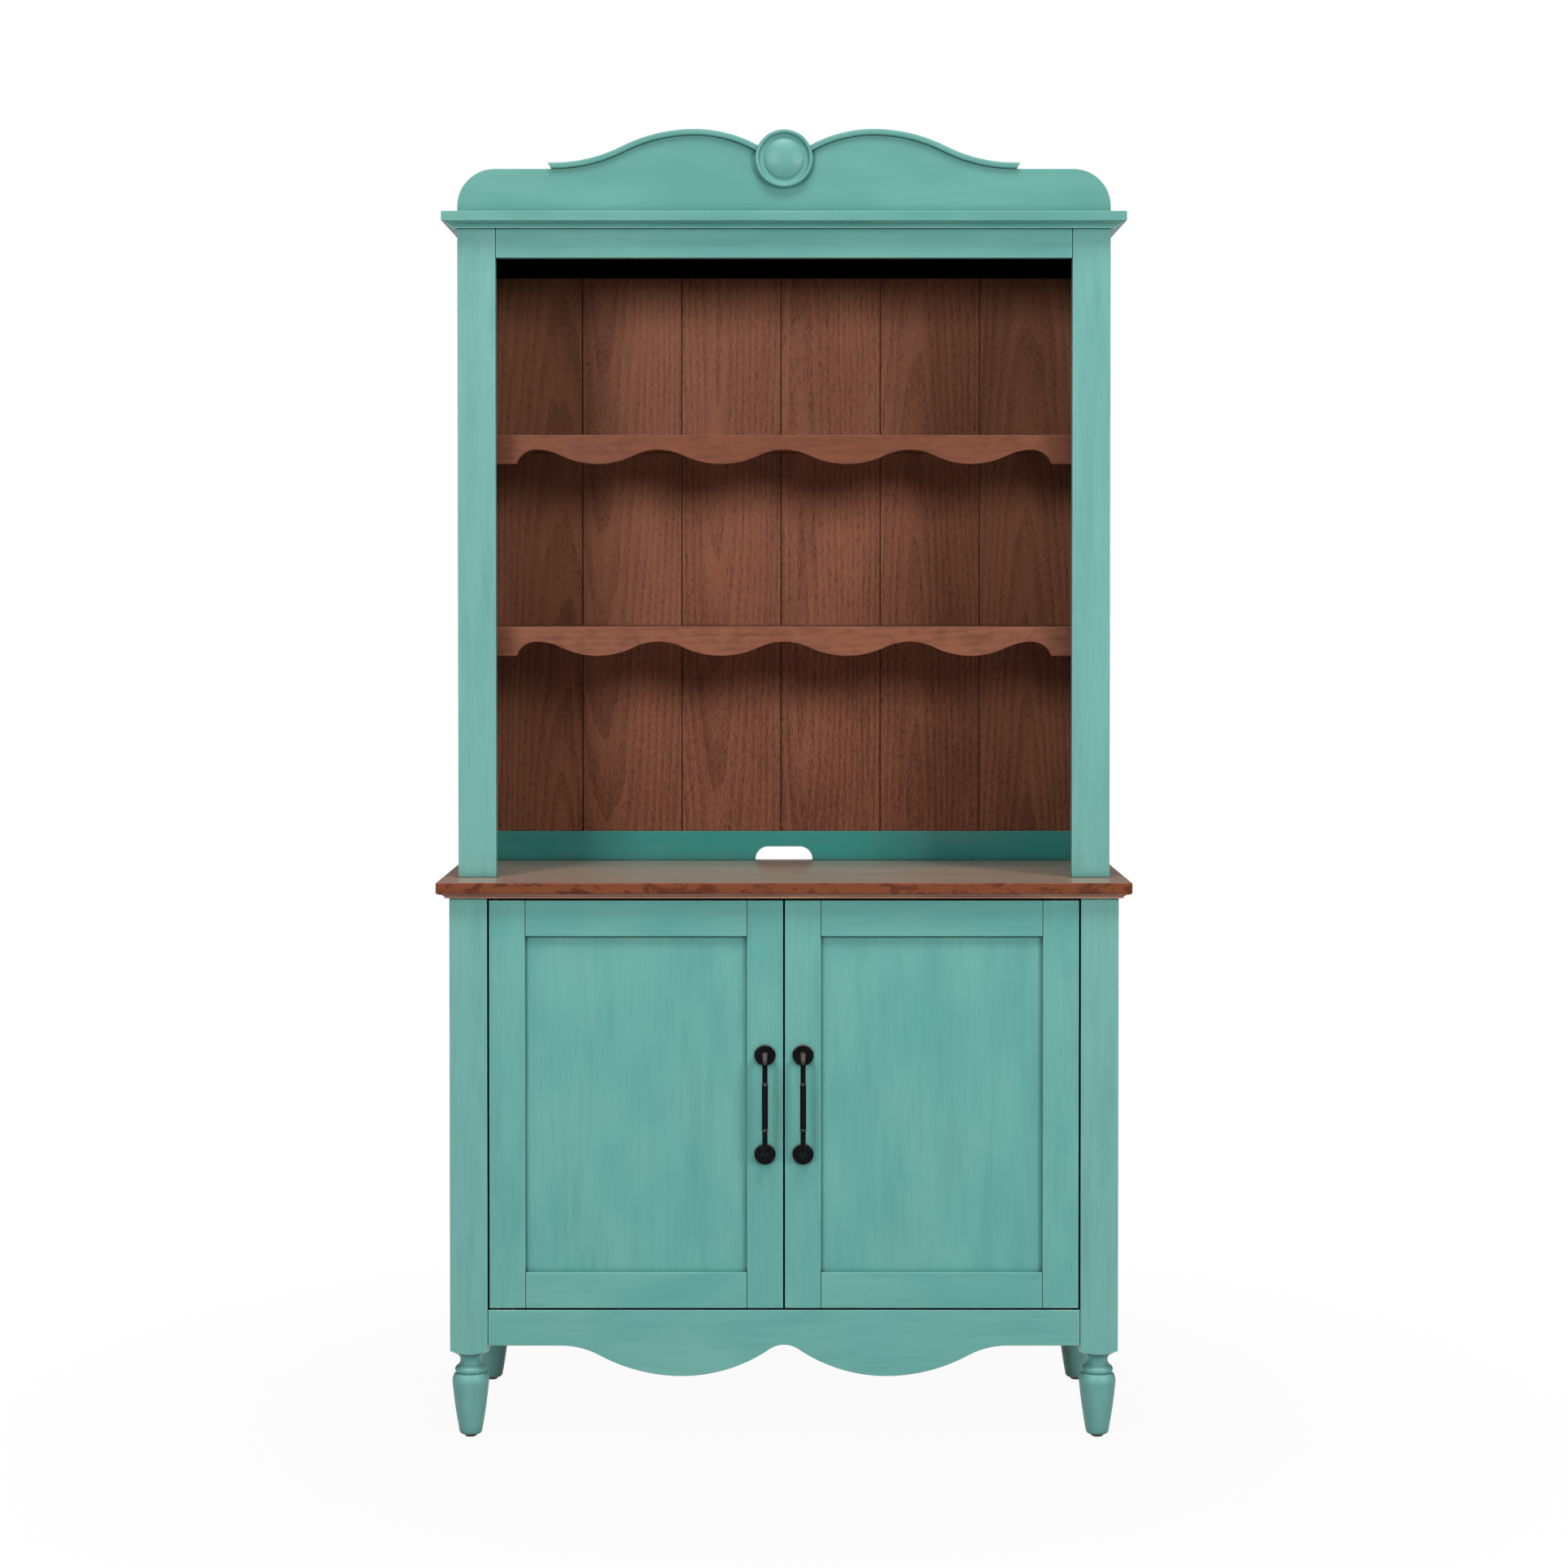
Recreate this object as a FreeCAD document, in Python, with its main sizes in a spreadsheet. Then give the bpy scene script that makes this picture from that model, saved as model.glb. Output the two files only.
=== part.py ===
import FreeCAD, Part
import math
import os

import Sketcher

# Driving dimensions, in millimetres

SIZES = {
    # The counter, which sets the width and depth of the whole cupboard
    "counter_width": 1120.0,
    "counter_depth": 460.0,
    "counter_height": 905.0,
    "counter_thickness": 18.0,
    "counter_overhang": 20.0,
    "counter_edge": 2.0,
    # Fits that are shared by every joint
    "fit": 0.2,
    "edge_ease": 1.0,
    "front_reveal": 1.0,
    "joint_line_width": 1.2,
    "joint_line_depth": 3.0,
    "groove_depth": 8.0,
    "tenon_length": 12.0,
    "tenon_thickness": 10.0,
    "tenon_shoulder": 8.0,
    # The corner posts and their turned feet, as radius and height above the floor
    "post_width": 61.0,
    "post_ease": 1.6,
    "pommel_height": 145.0,
    "pommel_hollow": 2.0,
    "ridge_radius": 24.0,
    "ridge_height": 135.5,
    "neck_hollow": 6.5,
    "bead_top_radius": 22.7,
    "bead_top": 115.0,
    "bead_swell": 2.5,
    "quirk_radius": 23.2,
    "quirk_height": 104.5,
    "shoulder_radius": 26.8,
    "shoulder_height": 102.0,
    "shoulder_swell": 0.9,
    "bulb_radius": 29.9,
    "bulb_height": 90.0,
    "taper_swell": 1.0,
    "toe_radius": 18.6,
    "toe_height": 9.7,
    "toe_round": 3.6,
    "toe_swell": 1.2,
    "glide_radius": 9.8,
    "glide_height": 4.6,
    "glide_round": 1.6,
    # The panels of the base
    "side_inset": 10.0,
    "side_thickness": 16.0,
    "side_bottom": 153.5,
    "back_panel_thickness": 12.0,
    "back_panel_inset": 10.0,
    "floor_thickness": 16.0,
    "floor_housing": 5.0,
    # The apron: ends, troughs and middle peak of its scalloped edge
    "apron_thickness": 20.0,
    "apron_top": 211.5,
    "apron_end": 153.5,
    "apron_flat_share": 0.7537,
    "apron_trough": 104.0,
    "apron_trough_share": 0.3445,
    "apron_peak": 155.0,
    "apron_outer_turn": 0.32,
    "apron_inner_turn": 0.86,
    # The rail above the doors, a thin lip in front of a deeper back
    "head_lip": 9.0,
    "head_lip_depth": 34.0,
    "head_back_depth": 20.0,
    "head_back_height": 37.0,
    # The doors
    "door_gap": 3.0,
    "door_thickness": 20.0,
    "door_frame": 58.0,
    "door_panel_recess": 8.0,
    "door_panel_thickness": 6.0,
    "door_panel_play": 0.5,
    # The pivot hinges
    "pivot_from_edge": 12.0,
    "pivot_from_front": 7.0,
    "pivot_radius": 2.5,
    "pivot_clearance": 0.06,
    "pivot_reach": 8.0,
    "pivot_tip_room": 1.0,
    "pivot_collar_radius": 4.6,
    "pivot_collar_play": 0.2,
    "leaf_length": 40.0,
    "leaf_width": 12.0,
    "leaf_thickness": 2.5,
    "leaf_from_edge": 4.0,
    # The pulls
    "pull_height": 545.0,
    "pull_from_middle": 30.7,
    "pull_centres": 160.0,
    "pull_projection": 35.0,
    "pull_bend": 16.0,
    "pull_bar_radius": 4.3,
    "pull_grip_radius": 5.0,
    "pull_ring_radius": 5.6,
    "pull_ring_height": 2.6,
    "pull_ring_offset": 36.8,
    "pull_rosette_radius": 17.0,
    "pull_rosette_thickness": 5.0,
    "pull_rosette_rim": 2.2,
    # The catches
    "catch_width": 40.0,
    "catch_height": 14.0,
    "catch_from_middle": 6.0,
    "catch_play": 0.4,
    "strike_radius": 5.0,
    "strike_thickness": 1.2,
    # The inner shelf and its pins
    "inner_shelf_height": 545.0,
    "inner_shelf_thickness": 18.0,
    "inner_shelf_play": 2.0,
    "pin_radius": 2.5,
    "pin_seat": 9.0,
    "pin_reach": 9.0,
    "pin_from_end": 45.0,
    # Screws
    "screw_radius": 1.6,
    "screw_head_radius": 3.0,
    "screw_head_height": 1.6,
    "screw_room": 0.05,
    "leaf_screw_length": 14.0,
    "leaf_screw_from_pivot": 12.0,
    "leaf_screw_spacing": 13.0,
    "plate_screw_length": 22.0,
    "long_screw_radius": 2.1,
    "long_screw_head_radius": 4.2,
    "long_screw_head_height": 2.1,
    "counter_screw_grip": 11.0,
    "counter_screw_share": 0.1964,
    "counter_screw_from_back": 6.0,
    "crest_screw_grip": 36.0,
    "crest_screw_share": 0.788,
    "pull_screw_grip": 10.0,
    "strike_screw_grip": 12.0,
    # The moulding under the counter
    "counter_moulding_height": 8.0,
    "counter_moulding_top": 16.5,
    "counter_moulding_foot": 6.5,
    "moulding_fillet": 1.4,
    "moulding_hollow": 1.2,
    # The hutch
    "hutch_inset": 27.0,
    "hutch_height": 1070.0,
    "hutch_setback": 100.0,
    "hutch_side_thickness": 18.0,
    "stile_width": 62.0,
    "stile_thickness": 22.0,
    "hutch_rail_height": 57.5,
    "top_panel_thickness": 18.0,
    "housing_depth": 6.0,
    "back_rail_height": 51.0,
    "back_rail_thickness": 20.0,
    "cable_notch_width": 99.0,
    "cable_notch_height": 24.0,
    "cable_notch_corner": 22.0,
    "board_thickness": 12.0,
    "board_inset": 2.0,
    "board_pitch_share": 0.162,
    "board_shift": -4.7,
    "board_tongue": 6.0,
    "board_tongue_thickness": 4.0,
    # The hutch shelves and their scalloped valances
    "lower_shelf_rise": 409.6,
    "upper_shelf_rise": 726.4,
    "shelf_thickness": 18.0,
    "valance_setback": 55.0,
    "valance_thickness": 18.0,
    "valance_height": 48.0,
    "scallop_height": 23.5,
    "scallop_inner_share": 0.404,
    "scallop_outer_share": 0.39,
    "scallop_end_share": 0.064,
    "scallop_turn": 0.4,
    # The cornice
    "cap_thickness": 16.0,
    "cap_overhang": 24.0,
    "cap_edge": 1.4,
    "cornice_moulding_height": 10.0,
    "cornice_moulding_top": 19.5,
    "cornice_moulding_foot": 7.5,
    # The crest
    "crest_thickness": 20.0,
    "crest_shoulder": 71.0,
    "crest_corner": 61.0,
    "hump_start_share": 0.7045,
    "hump_across_share": 0.2734,
    "hump_height": 54.6,
    "hump_turn": 0.5,
    "hump_fall": 61.0,
    "crest_bead_thickness": 9.8,
    "crest_bead_proud": 6.0,
    "crest_bead_round": 3.4,
    "crest_bead_tail": 10.0,
    "crest_bead_slant": 6.0,
    # The turned rosette, as radius and stand-off from the crest board
    "rosette_rise": 16.0,
    "rosette_radius": 47.0,
    "rosette_backing": 3.0,
    "rosette_edge": 8.0,
    "rosette_rim_width": 6.0,
    "rosette_rim_swell": 2.6,
    "rosette_hollow_depth": 3.0,
    "rosette_dome_radius": 31.0,
    "rosette_dome_foot": 7.0,
    "rosette_dome_height": 15.0,
    "rosette_gap": 0.3,
    # The mending plates at the back
    "plate_thickness": 2.0,
    "plate_width": 12.0,
    "plate_from_edge": 1.0,
    "plate_arm": 70.0,
    "plate_screw_inset": 12.0,
    "plate_screw_pitch": 30.0,
}

SIDES = {"left": -1, "right": 1}
ROWS = ("front", "back")
BOARD_COUNT = 6
TURN_TO_AXIS = {
    "x": FreeCAD.Rotation(FreeCAD.Vector(0, 1, 0), 90),
    "y": FreeCAD.Rotation(FreeCAD.Vector(1, 0, 0), -90),
    "z": FreeCAD.Rotation(),
}
FLIP = {
    "x": FreeCAD.Rotation(FreeCAD.Vector(0, 0, 1), 180),
    "y": FreeCAD.Rotation(FreeCAD.Vector(0, 0, 1), 180),
    "z": FreeCAD.Rotation(FreeCAD.Vector(1, 0, 0), 180),
}
MITRE_WASTE = {"front_right": 45, "front_left": 135, "right": 225, "left": 315}
# How far the middle of a quarter round lies from the square corner each way, as a share of its radius
QUARTER_ROUND_MIDDLE = 1 - math.sqrt(0.5)
PLANE_ROLES = {"xy": "XY_Plane", "xz": "XZ_Plane", "yz": "YZ_Plane"}
PLANE_AXES = {"xy": (0, 1, 2), "xz": (0, 2, 1), "yz": (1, 2, 0)}


# Sizes and the sheet that holds them

class Size:
    """A length as its number now, and as the formula that works it out from the sheet."""

    def __init__(self, number, formula):
        self.number = number
        self.formula = formula

    def __add__(self, other):
        other = as_size(other)
        return Size(self.number + other.number, f"({self.formula} + {other.formula})")

    def __sub__(self, other):
        other = as_size(other)
        return Size(self.number - other.number, f"({self.formula} - {other.formula})")

    def __mul__(self, other):
        other = as_size(other)
        return Size(self.number * other.number, f"({self.formula} * {other.formula})")

    def __truediv__(self, other):
        other = as_size(other)
        return Size(self.number / other.number, f"({self.formula} / {other.formula})")

    def __neg__(self):
        return Size(-self.number, f"(-1 * {self.formula})")

    def __radd__(self, other):
        return as_size(other) + self

    def __rsub__(self, other):
        return as_size(other) - self

    def __rmul__(self, other):
        return as_size(other) * self


def as_size(value):
    """A plain number as a Size, and a Size as it is."""
    if isinstance(value, Size):
        return value
    return Size(float(value), f"{float(value)}")


def root(size):
    """The square root of a Size."""
    return Size(math.sqrt(size.number), f"sqrt({size.formula})")


class Sheet:
    """The sheet of driving dimensions, with each one as a Size under its own name."""

    def __init__(self, document, sizes):
        cells = document.addObject("Spreadsheet::Sheet", "Sizes")
        for row, (name, number) in enumerate(sizes.items(), start=1):
            cells.set(f"A{row}", name)
            cells.set(f"B{row}", str(number))
            cells.setAlias(f"B{row}", name)
        document.recompute()
        for name in sizes:
            setattr(self, name, Size(float(getattr(cells, name)), f"Sizes.{name}"))


doc = FreeCAD.newDocument("Hutch")
S = Sheet(doc, SIZES)


# Places that several pieces share

base_half = S.counter_width / 2 - S.counter_overhang
base_depth = S.counter_depth - S.counter_overhang
base_front = (S.pull_projection - S.front_reveal - base_depth - S.plate_thickness) / 2
base_back = base_front + base_depth
counter_front = base_front - S.counter_overhang
counter_under = S.counter_height - S.counter_thickness

post_inner = base_half - S.post_width
post_axis = base_half - S.post_width / 2
post_rear_of_front = base_front + S.post_width
post_front_of_back = base_back - S.post_width
side_outer = base_half - S.side_inset
side_inner = side_outer - S.side_thickness
back_panel_rear = base_back - S.back_panel_inset
back_panel_front = back_panel_rear - S.back_panel_thickness
apron_flat = post_inner * S.apron_flat_share
apron_trough_across = post_inner * S.apron_trough_share

door_front = base_front + S.front_reveal
door_back = door_front + S.door_thickness
head_under = counter_under - S.head_lip
head_rear = base_front + S.head_lip_depth
door_top = head_under - S.door_gap
door_bottom = S.apron_top + S.door_gap
door_outer = post_inner - S.door_gap
door_inner = S.door_gap / 2
pivot_across = door_outer - S.pivot_from_edge
pivot_deep = door_front + S.pivot_from_front
panel_front = door_front + S.door_panel_recess
panel_span = (panel_front, panel_front + S.door_panel_thickness)
panel_room = (panel_span[0] - S.fit, panel_span[1] + S.fit)
grip_deep = door_front - S.pull_projection + S.pull_ring_radius

hutch_half = S.counter_width / 2 - S.hutch_inset
hutch_front = counter_front + S.hutch_setback
hutch_back = base_back
hutch_top = S.counter_height + S.hutch_height
hutch_side_inner = hutch_half - S.hutch_side_thickness
stile_inner = hutch_half - S.stile_width
stile_back = hutch_front + S.stile_thickness
hutch_rail_under = hutch_top - S.hutch_rail_height
board_back = hutch_back - S.board_inset
board_front = board_back - S.board_thickness
board_pitch = hutch_half * 2 * S.board_pitch_share
back_rail_front = hutch_back - S.back_rail_thickness
back_rail_top = S.counter_height + S.back_rail_height
valance_front = hutch_front + S.valance_setback
valance_back = valance_front + S.valance_thickness
scallop_inner_pitch = hutch_side_inner * S.scallop_inner_share
scallop_outer_pitch = hutch_side_inner * S.scallop_outer_share
scallop_end = hutch_side_inner * S.scallop_end_share
shelf_tops = {
    "lower": S.counter_height + S.lower_shelf_rise,
    "upper": S.counter_height + S.upper_shelf_rise,
}

cap_top = hutch_top + S.cap_thickness
shoulder_top = cap_top + S.crest_shoulder
hump_start = hutch_half * S.hump_start_share
hump_across = hutch_half * S.hump_across_share
hump_top = shoulder_top + S.hump_height
valley = hump_top - S.hump_fall
rosette_middle = shoulder_top + S.rosette_rise


# Building helpers

def bind(feature, **properties):
    """Tie a feature's properties to the sheet."""
    for name, size in properties.items():
        feature.setExpression(name, as_size(size).formula)


def place(feature, corner, turn=FreeCAD.Rotation()):
    """Turn a feature, and tie its place to the sheet."""
    feature.Placement = FreeCAD.Placement(FreeCAD.Vector(), turn)
    for axis, size in zip("xyz", corner):
        feature.setExpression(f"Placement.Base.{axis}", as_size(size).formula)


def span(side, near, far):
    """The stretch between two distances from the middle, on one side of it."""
    if side > 0:
        return (near, far)
    return (-far, -near)


def widened(stretch, room):
    """A stretch with the same room added at both ends."""
    return (stretch[0] - room, stretch[1] + room)


def between(start, end, share):
    """The point a share of the way from start to end."""
    return tuple(low + (high - low) * share for low, high in zip(start, end))


def bowed(start, end, swell):
    """The middle of a turned stretch from start to end, swollen outwards from its chord."""
    return ((start[0] + end[0]) / 2 + swell, (start[1] + end[1]) / 2)


class Outline:
    """A wire of lines and arcs on a piece's origin plane, each of its points tied to the sheet."""

    def __init__(self, piece, plane, level, start, relative=True):
        self.sketch = piece.body.newObject("Sketcher::SketchObject", "Outline")
        planes = {feature.Role: feature for feature in piece.body.Origin.OriginFeatures}
        self.sketch.AttachmentSupport = (planes[PLANE_ROLES[plane]], [""])
        self.sketch.MapMode = "FlatFace"
        across, up, through = PLANE_AXES[plane]
        outwards = -1 if plane == "xz" else 1
        depth = (as_size(level) - piece.at[through]) * outwards
        self.sketch.setExpression("AttachmentOffset.Base.z", depth.formula)
        self.origin = (piece.at[across], piece.at[up]) if relative else (as_size(0), as_size(0))
        self.points = [start]
        self.edges = []

    def line(self, *points):
        """Straight on to each point in turn."""
        for point in points:
            self.edges.append(("line", None))
            self.points.append(point)
        return self

    def arc(self, via, end):
        """An arc through one point to another."""
        self.edges.append(("arc", via))
        self.points.append(end)
        return self

    def sweep(self, end, centre_across):
        """The shorter arc to a point, about a centre at the given distance across."""
        self.edges.append(("sweep", centre_across))
        self.points.append(end)
        return self

    def ogee(self, end, turn):
        """A double curve to a point, level at both ends, that changes hand at the given share."""
        start = self.points[-1]
        return self.sweep(between(start, end, turn), start[0]).sweep(end, end[0])

    def vector(self, point):
        """A point of the outline as it lies in the sketch."""
        local = [as_size(size).number - base.number for size, base in zip(point, self.origin)]
        return FreeCAD.Vector(local[0], local[1], 0)

    def fix(self, geometry, position, point, name, axes=("DistanceX", "DistanceY")):
        """Tie a point of the sketch to the sheet."""
        vector = self.vector(point)
        for index, kind in enumerate(axes):
            if kind is None:
                continue
            value = vector[index]
            number = self.sketch.addConstraint(
                Sketcher.Constraint(kind, -1, 1, geometry, position, value))
            label = f"{name}_{'xy'[index]}"
            self.sketch.renameConstraint(number, label)
            formula = (as_size(point[index]) - self.origin[index]).formula
            self.sketch.setExpression(f"Constraints.{label}", formula)

    def add_arc(self, centre, start, end, long_way):
        """Draw an arc, and say which of its ends comes first along the outline."""
        first = math.atan2(start.y - centre.y, start.x - centre.x)
        last = math.atan2(end.y - centre.y, end.x - centre.x)
        forward = (last - first) % (2 * math.pi) < math.pi
        circle = Part.Circle(centre, FreeCAD.Vector(0, 0, 1), (start - centre).Length)
        if forward != long_way:
            geometry = self.sketch.addGeometry(Part.ArcOfCircle(circle, first, last), False)
            return geometry, (1, 2)
        geometry = self.sketch.addGeometry(Part.ArcOfCircle(circle, last, first), False)
        return geometry, (2, 1)

    def draw_edge(self, number, kind, detail, start, end):
        """Draw one edge of the outline, and say which of its ends comes first."""
        if kind == "line":
            return self.sketch.addGeometry(Part.LineSegment(start, end), False), (1, 2)
        if kind == "sweep":
            centre_x = as_size(detail).number - self.origin[0].number
            reach = (start.x - centre_x) ** 2 - (end.x - centre_x) ** 2
            centre_y = (reach + start.y ** 2 - end.y ** 2) / (2 * (start.y - end.y))
            centre = FreeCAD.Vector(centre_x, centre_y, 0)
            geometry, ends = self.add_arc(centre, start, end, False)
            self.fix(geometry, 3, (detail, 0), f"centre_{number}", ("DistanceX", None))
            return geometry, ends
        via = self.vector(detail)
        centre = Part.Arc(start, via, end).toShape().Curve.Center
        side = (via - start).cross(end - start).z
        bulge_side = (centre - start).cross(end - start).z
        geometry, ends = self.add_arc(centre, start, end, side * bulge_side > 0)
        point = self.sketch.addGeometry(Part.Point(via), True)
        self.fix(point, 1, detail, f"via_{number}")
        self.sketch.addConstraint(Sketcher.Constraint("PointOnObject", point, 1, geometry))
        return geometry, ends

    def draw(self, closed=True):
        """Draw the whole wire and tie it down."""
        if closed:
            self.edges.append(("line", None))
            self.points.append(self.points[0])
        vectors = [self.vector(point) for point in self.points]
        drawn = []
        for number, (kind, detail) in enumerate(self.edges):
            drawn.append(self.draw_edge(number, kind, detail, vectors[number], vectors[number + 1]))
        for number, (geometry, ends) in enumerate(drawn):
            self.fix(geometry, ends[0], self.points[number], f"point_{number}")
            if number + 1 < len(drawn) or closed:
                after, after_ends = drawn[(number + 1) % len(drawn)]
                self.sketch.addConstraint(
                    Sketcher.Constraint("Coincident", geometry, ends[1], after, after_ends[0]))
        if not closed:
            geometry, ends = drawn[-1]
            self.fix(geometry, ends[1], self.points[-1], "point_end")
        return self.sketch


class Piece:
    """One body, whose boxes, rods, outlines and turnings are added and cut in order."""

    def __init__(self, name, at=(0, 0, 0)):
        self.body = doc.addObject("PartDesign::Body", name)
        self.body.Label = name
        self.at = tuple(as_size(size) for size in at)
        place(self.body, self.at)

    def feature(self, kind):
        """A new feature at the end of the body."""
        return self.body.newObject(f"PartDesign::{kind}", kind)

    def primitive(self, shape, corner, cut, turn=FreeCAD.Rotation()):
        """A primitive that is added to the body or cut from it."""
        kind = "Subtractive" if cut else "Additive"
        feature = self.feature(kind + shape)
        place(feature, [as_size(size) - base for size, base in zip(corner, self.at)], turn)
        return feature

    def box(self, x, y, z, cut=False):
        """A block between two places along each axis."""
        feature = self.primitive("Box", (x[0], y[0], z[0]), cut)
        bind(feature, Length=x[1] - x[0], Width=y[1] - y[0], Height=z[1] - z[0])
        return self

    def slot(self, x, y, z):
        """A cut between two places along each axis."""
        return self.box(x, y, z, cut=True)

    def joint_line(self, x, front, z):
        """A fine sunk line down the front, where this piece butts against another."""
        return self.slot(x, (front, front + S.joint_line_depth), z)

    def rod(self, axis, start, radius, length, cut=False):
        """A cylinder along an axis from its start."""
        feature = self.primitive("Cylinder", start, cut, TURN_TO_AXIS[axis])
        bind(feature, Radius=radius, Height=length)
        return self

    def bore(self, axis, start, radius, length):
        """A round hole along an axis from its start."""
        return self.rod(axis, start, radius, length, cut=True)

    def mitre(self, corner, angle, reach, z):
        """Cut away what lies beyond an upright plane through a corner; angle points into the waste."""
        feature = self.feature("SubtractiveBox")
        turn = FreeCAD.Rotation(FreeCAD.Vector(0, 0, 1), angle)
        back = turn.multVec(FreeCAD.Vector(0, -1, 0))
        place(feature, (corner[0] + reach * back.x, corner[1] + reach * back.y, z[0]), turn)
        bind(feature, Length=reach, Width=reach * 2, Height=z[1] - z[0])
        return self

    def ease(self, radius, chosen=None):
        """Round every edge so far, or the chosen ones."""
        base = self.body.Tip
        names = [""]
        if chosen:
            doc.recompute()
            edges = enumerate(base.Shape.Edges, start=1)
            names = [f"Edge{number}" for number, edge in edges if chosen(edge)]
        feature = self.feature("Fillet")
        feature.Base = (base, names)
        feature.UseAllEdges = chosen is None
        bind(feature, Radius=radius)
        return self

    def outline(self, plane, level, start):
        """Start an outline on one of the origin planes."""
        return Outline(self, plane, level, start)

    def pad(self, plane, outline, length):
        """Thicken an outline towards the positive end of the axis it faces."""
        feature = self.feature("Pad")
        feature.Profile = outline.draw()
        feature.Reversed = plane == "xz"
        bind(feature, Length=length)
        return self

    def turn(self, plane, level, profile, cut=False):
        """Turn a profile of radius and distance along the axis about the piece's own axis."""
        outline = Outline(self, plane, level, profile[0][0], relative=False)
        for end, via in profile[1:]:
            if via is None:
                outline.line(end)
            else:
                outline.arc(via, end)
        feature = self.feature("Groove" if cut else "Revolution")
        sketch = outline.draw()
        feature.Profile = sketch
        feature.ReferenceAxis = (sketch, ["V_Axis"])
        feature.Angle = 360
        return self


def group(name, members):
    """Separate solids that share one node."""
    compound = doc.addObject("Part::Compound", name)
    compound.Label = name
    compound.Links = [member.body if isinstance(member, Piece) else member for member in members]
    return compound


class Screw:
    """A countersunk screw: where its head is flush, the axis it runs along, and its sizes."""

    def __init__(self, name, axis, head, backwards, length, long=False):
        self.name = name
        self.axis = axis
        self.head = head
        self.backwards = backwards
        self.length = length
        self.radius = S.long_screw_radius if long else S.screw_radius
        self.head_radius = S.long_screw_head_radius if long else S.screw_head_radius
        self.head_height = S.long_screw_head_height if long else S.screw_head_height

    def turn(self):
        """The turn that points the screw along its axis."""
        turn = TURN_TO_AXIS[self.axis]
        return FLIP[self.axis].multiply(turn) if self.backwards else turn

    def solid(self):
        """The screw itself."""
        head = doc.addObject("Part::Cone", f"{self.name}_head")
        place(head, self.head, self.turn())
        bind(head, Radius1=self.head_radius, Radius2=self.radius, Height=self.head_height)
        shank = doc.addObject("Part::Cylinder", f"{self.name}_shank")
        place(shank, self.head, self.turn())
        bind(shank, Radius=self.radius, Height=self.length)
        whole = doc.addObject("Part::Fuse", self.name)
        whole.Base = head
        whole.Tool = shank
        return whole

    def bore(self, piece):
        """The hole for the shank, through or into a piece."""
        hole = piece.primitive("Cylinder", self.head, True, self.turn())
        bind(hole, Radius=self.radius + S.screw_room, Height=self.length + S.screw_room)

    def seat(self, piece):
        """The hole for the shank and the countersink for the head."""
        self.bore(piece)
        sink = piece.primitive("Cone", self.head, True, self.turn())
        bind(sink, Radius1=self.head_radius + S.screw_room, Radius2=self.radius + S.screw_room,
             Height=self.head_height)


def upright(edge):
    """Whether a straight edge runs along the vertical."""
    return edge.Curve.TypeId == "Part::GeomLine" and abs(edge.tangentAt(edge.FirstParameter).z) > 0.99


def facing(level):
    """A test for the edges that lie wholly on the plane at one depth."""
    def lies_there(edge):
        box = edge.BoundBox
        return max(abs(box.YMin - level.number), abs(box.YMax - level.number)) < 1e-4
    return lies_there


def centred(stretch, width):
    """The stretch of a given width in the middle of another."""
    middle = (stretch[0] + stretch[1]) / 2
    return (middle - width / 2, middle + width / 2)


# Stretches that joints share

side_height = (S.side_bottom, counter_under)
floor_height = (S.apron_top - S.floor_thickness, S.apron_top)
apron_depth = (door_front, door_front + S.apron_thickness)
apron_tenon_depth = centred(apron_depth, S.tenon_thickness)
apron_tenon_height = (S.apron_end + S.tenon_shoulder, S.apron_top - S.tenon_shoulder)
head_depth = (head_rear, head_rear + S.head_back_depth)
head_height = (counter_under - S.head_back_height, counter_under)
head_tenon_depth = centred(head_depth, S.tenon_thickness)
head_tenon_height = (head_height[0] + S.tenon_shoulder, head_height[1] - S.tenon_shoulder)
back_panel_depth = (back_panel_front, back_panel_rear)
board_depth = (board_front, board_back)
board_room = widened(board_depth, S.fit)
hutch_rail_depth = (hutch_front + S.front_reveal, stile_back)
hutch_tenon_depth = centred(hutch_rail_depth, S.tenon_thickness)
hutch_tenon_height = (hutch_rail_under + S.tenon_shoulder, hutch_top - S.tenon_shoulder)
top_panel_height = (hutch_rail_under, hutch_rail_under + S.top_panel_thickness)
shelf_heights = {name: (top - S.shelf_thickness, top) for name, top in shelf_tops.items()}
door_height = (door_bottom, door_top)
leaf_near = door_outer - S.leaf_from_edge - S.leaf_length
leaf_far = door_outer - S.leaf_from_edge
leaf_depth = (pivot_deep - S.leaf_width / 2, pivot_deep + S.leaf_width / 2)
catch_height = (head_height[0], head_height[0] + S.catch_height)
catch_near = S.catch_from_middle
catch_far = S.catch_from_middle + S.catch_width
shelf_pin_heights = S.inner_shelf_height - S.inner_shelf_thickness - S.pin_radius
inner_shelf_depth = (post_rear_of_front + S.inner_shelf_play, post_front_of_back - S.inner_shelf_play)
shelf_pin_depths = (inner_shelf_depth[0] + S.pin_from_end, inner_shelf_depth[1] - S.pin_from_end)


# Screws, which several pieces are bored for

def leaf_screws(side_name, side, end):
    """The two screws of a frame leaf and the two of a door leaf, at the top or bottom of a door."""
    frame_head = S.apron_top if end == "bottom" else head_under
    door_head = door_bottom if end == "bottom" else door_top
    screws = {"frame": [], "door": []}
    for number in range(2):
        across = pivot_across - S.leaf_screw_from_pivot - S.leaf_screw_spacing * number
        for owner, level in (("frame", frame_head), ("door", door_head)):
            downwards = (end == "bottom") == (owner == "frame")
            name = f"{owner}_leaf_screw_{side_name}_{end}_{number}"
            head = (across * side, pivot_deep, level)
            screws[owner].append(Screw(name, "z", head, downwards, S.leaf_screw_length))
    return screws


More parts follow.
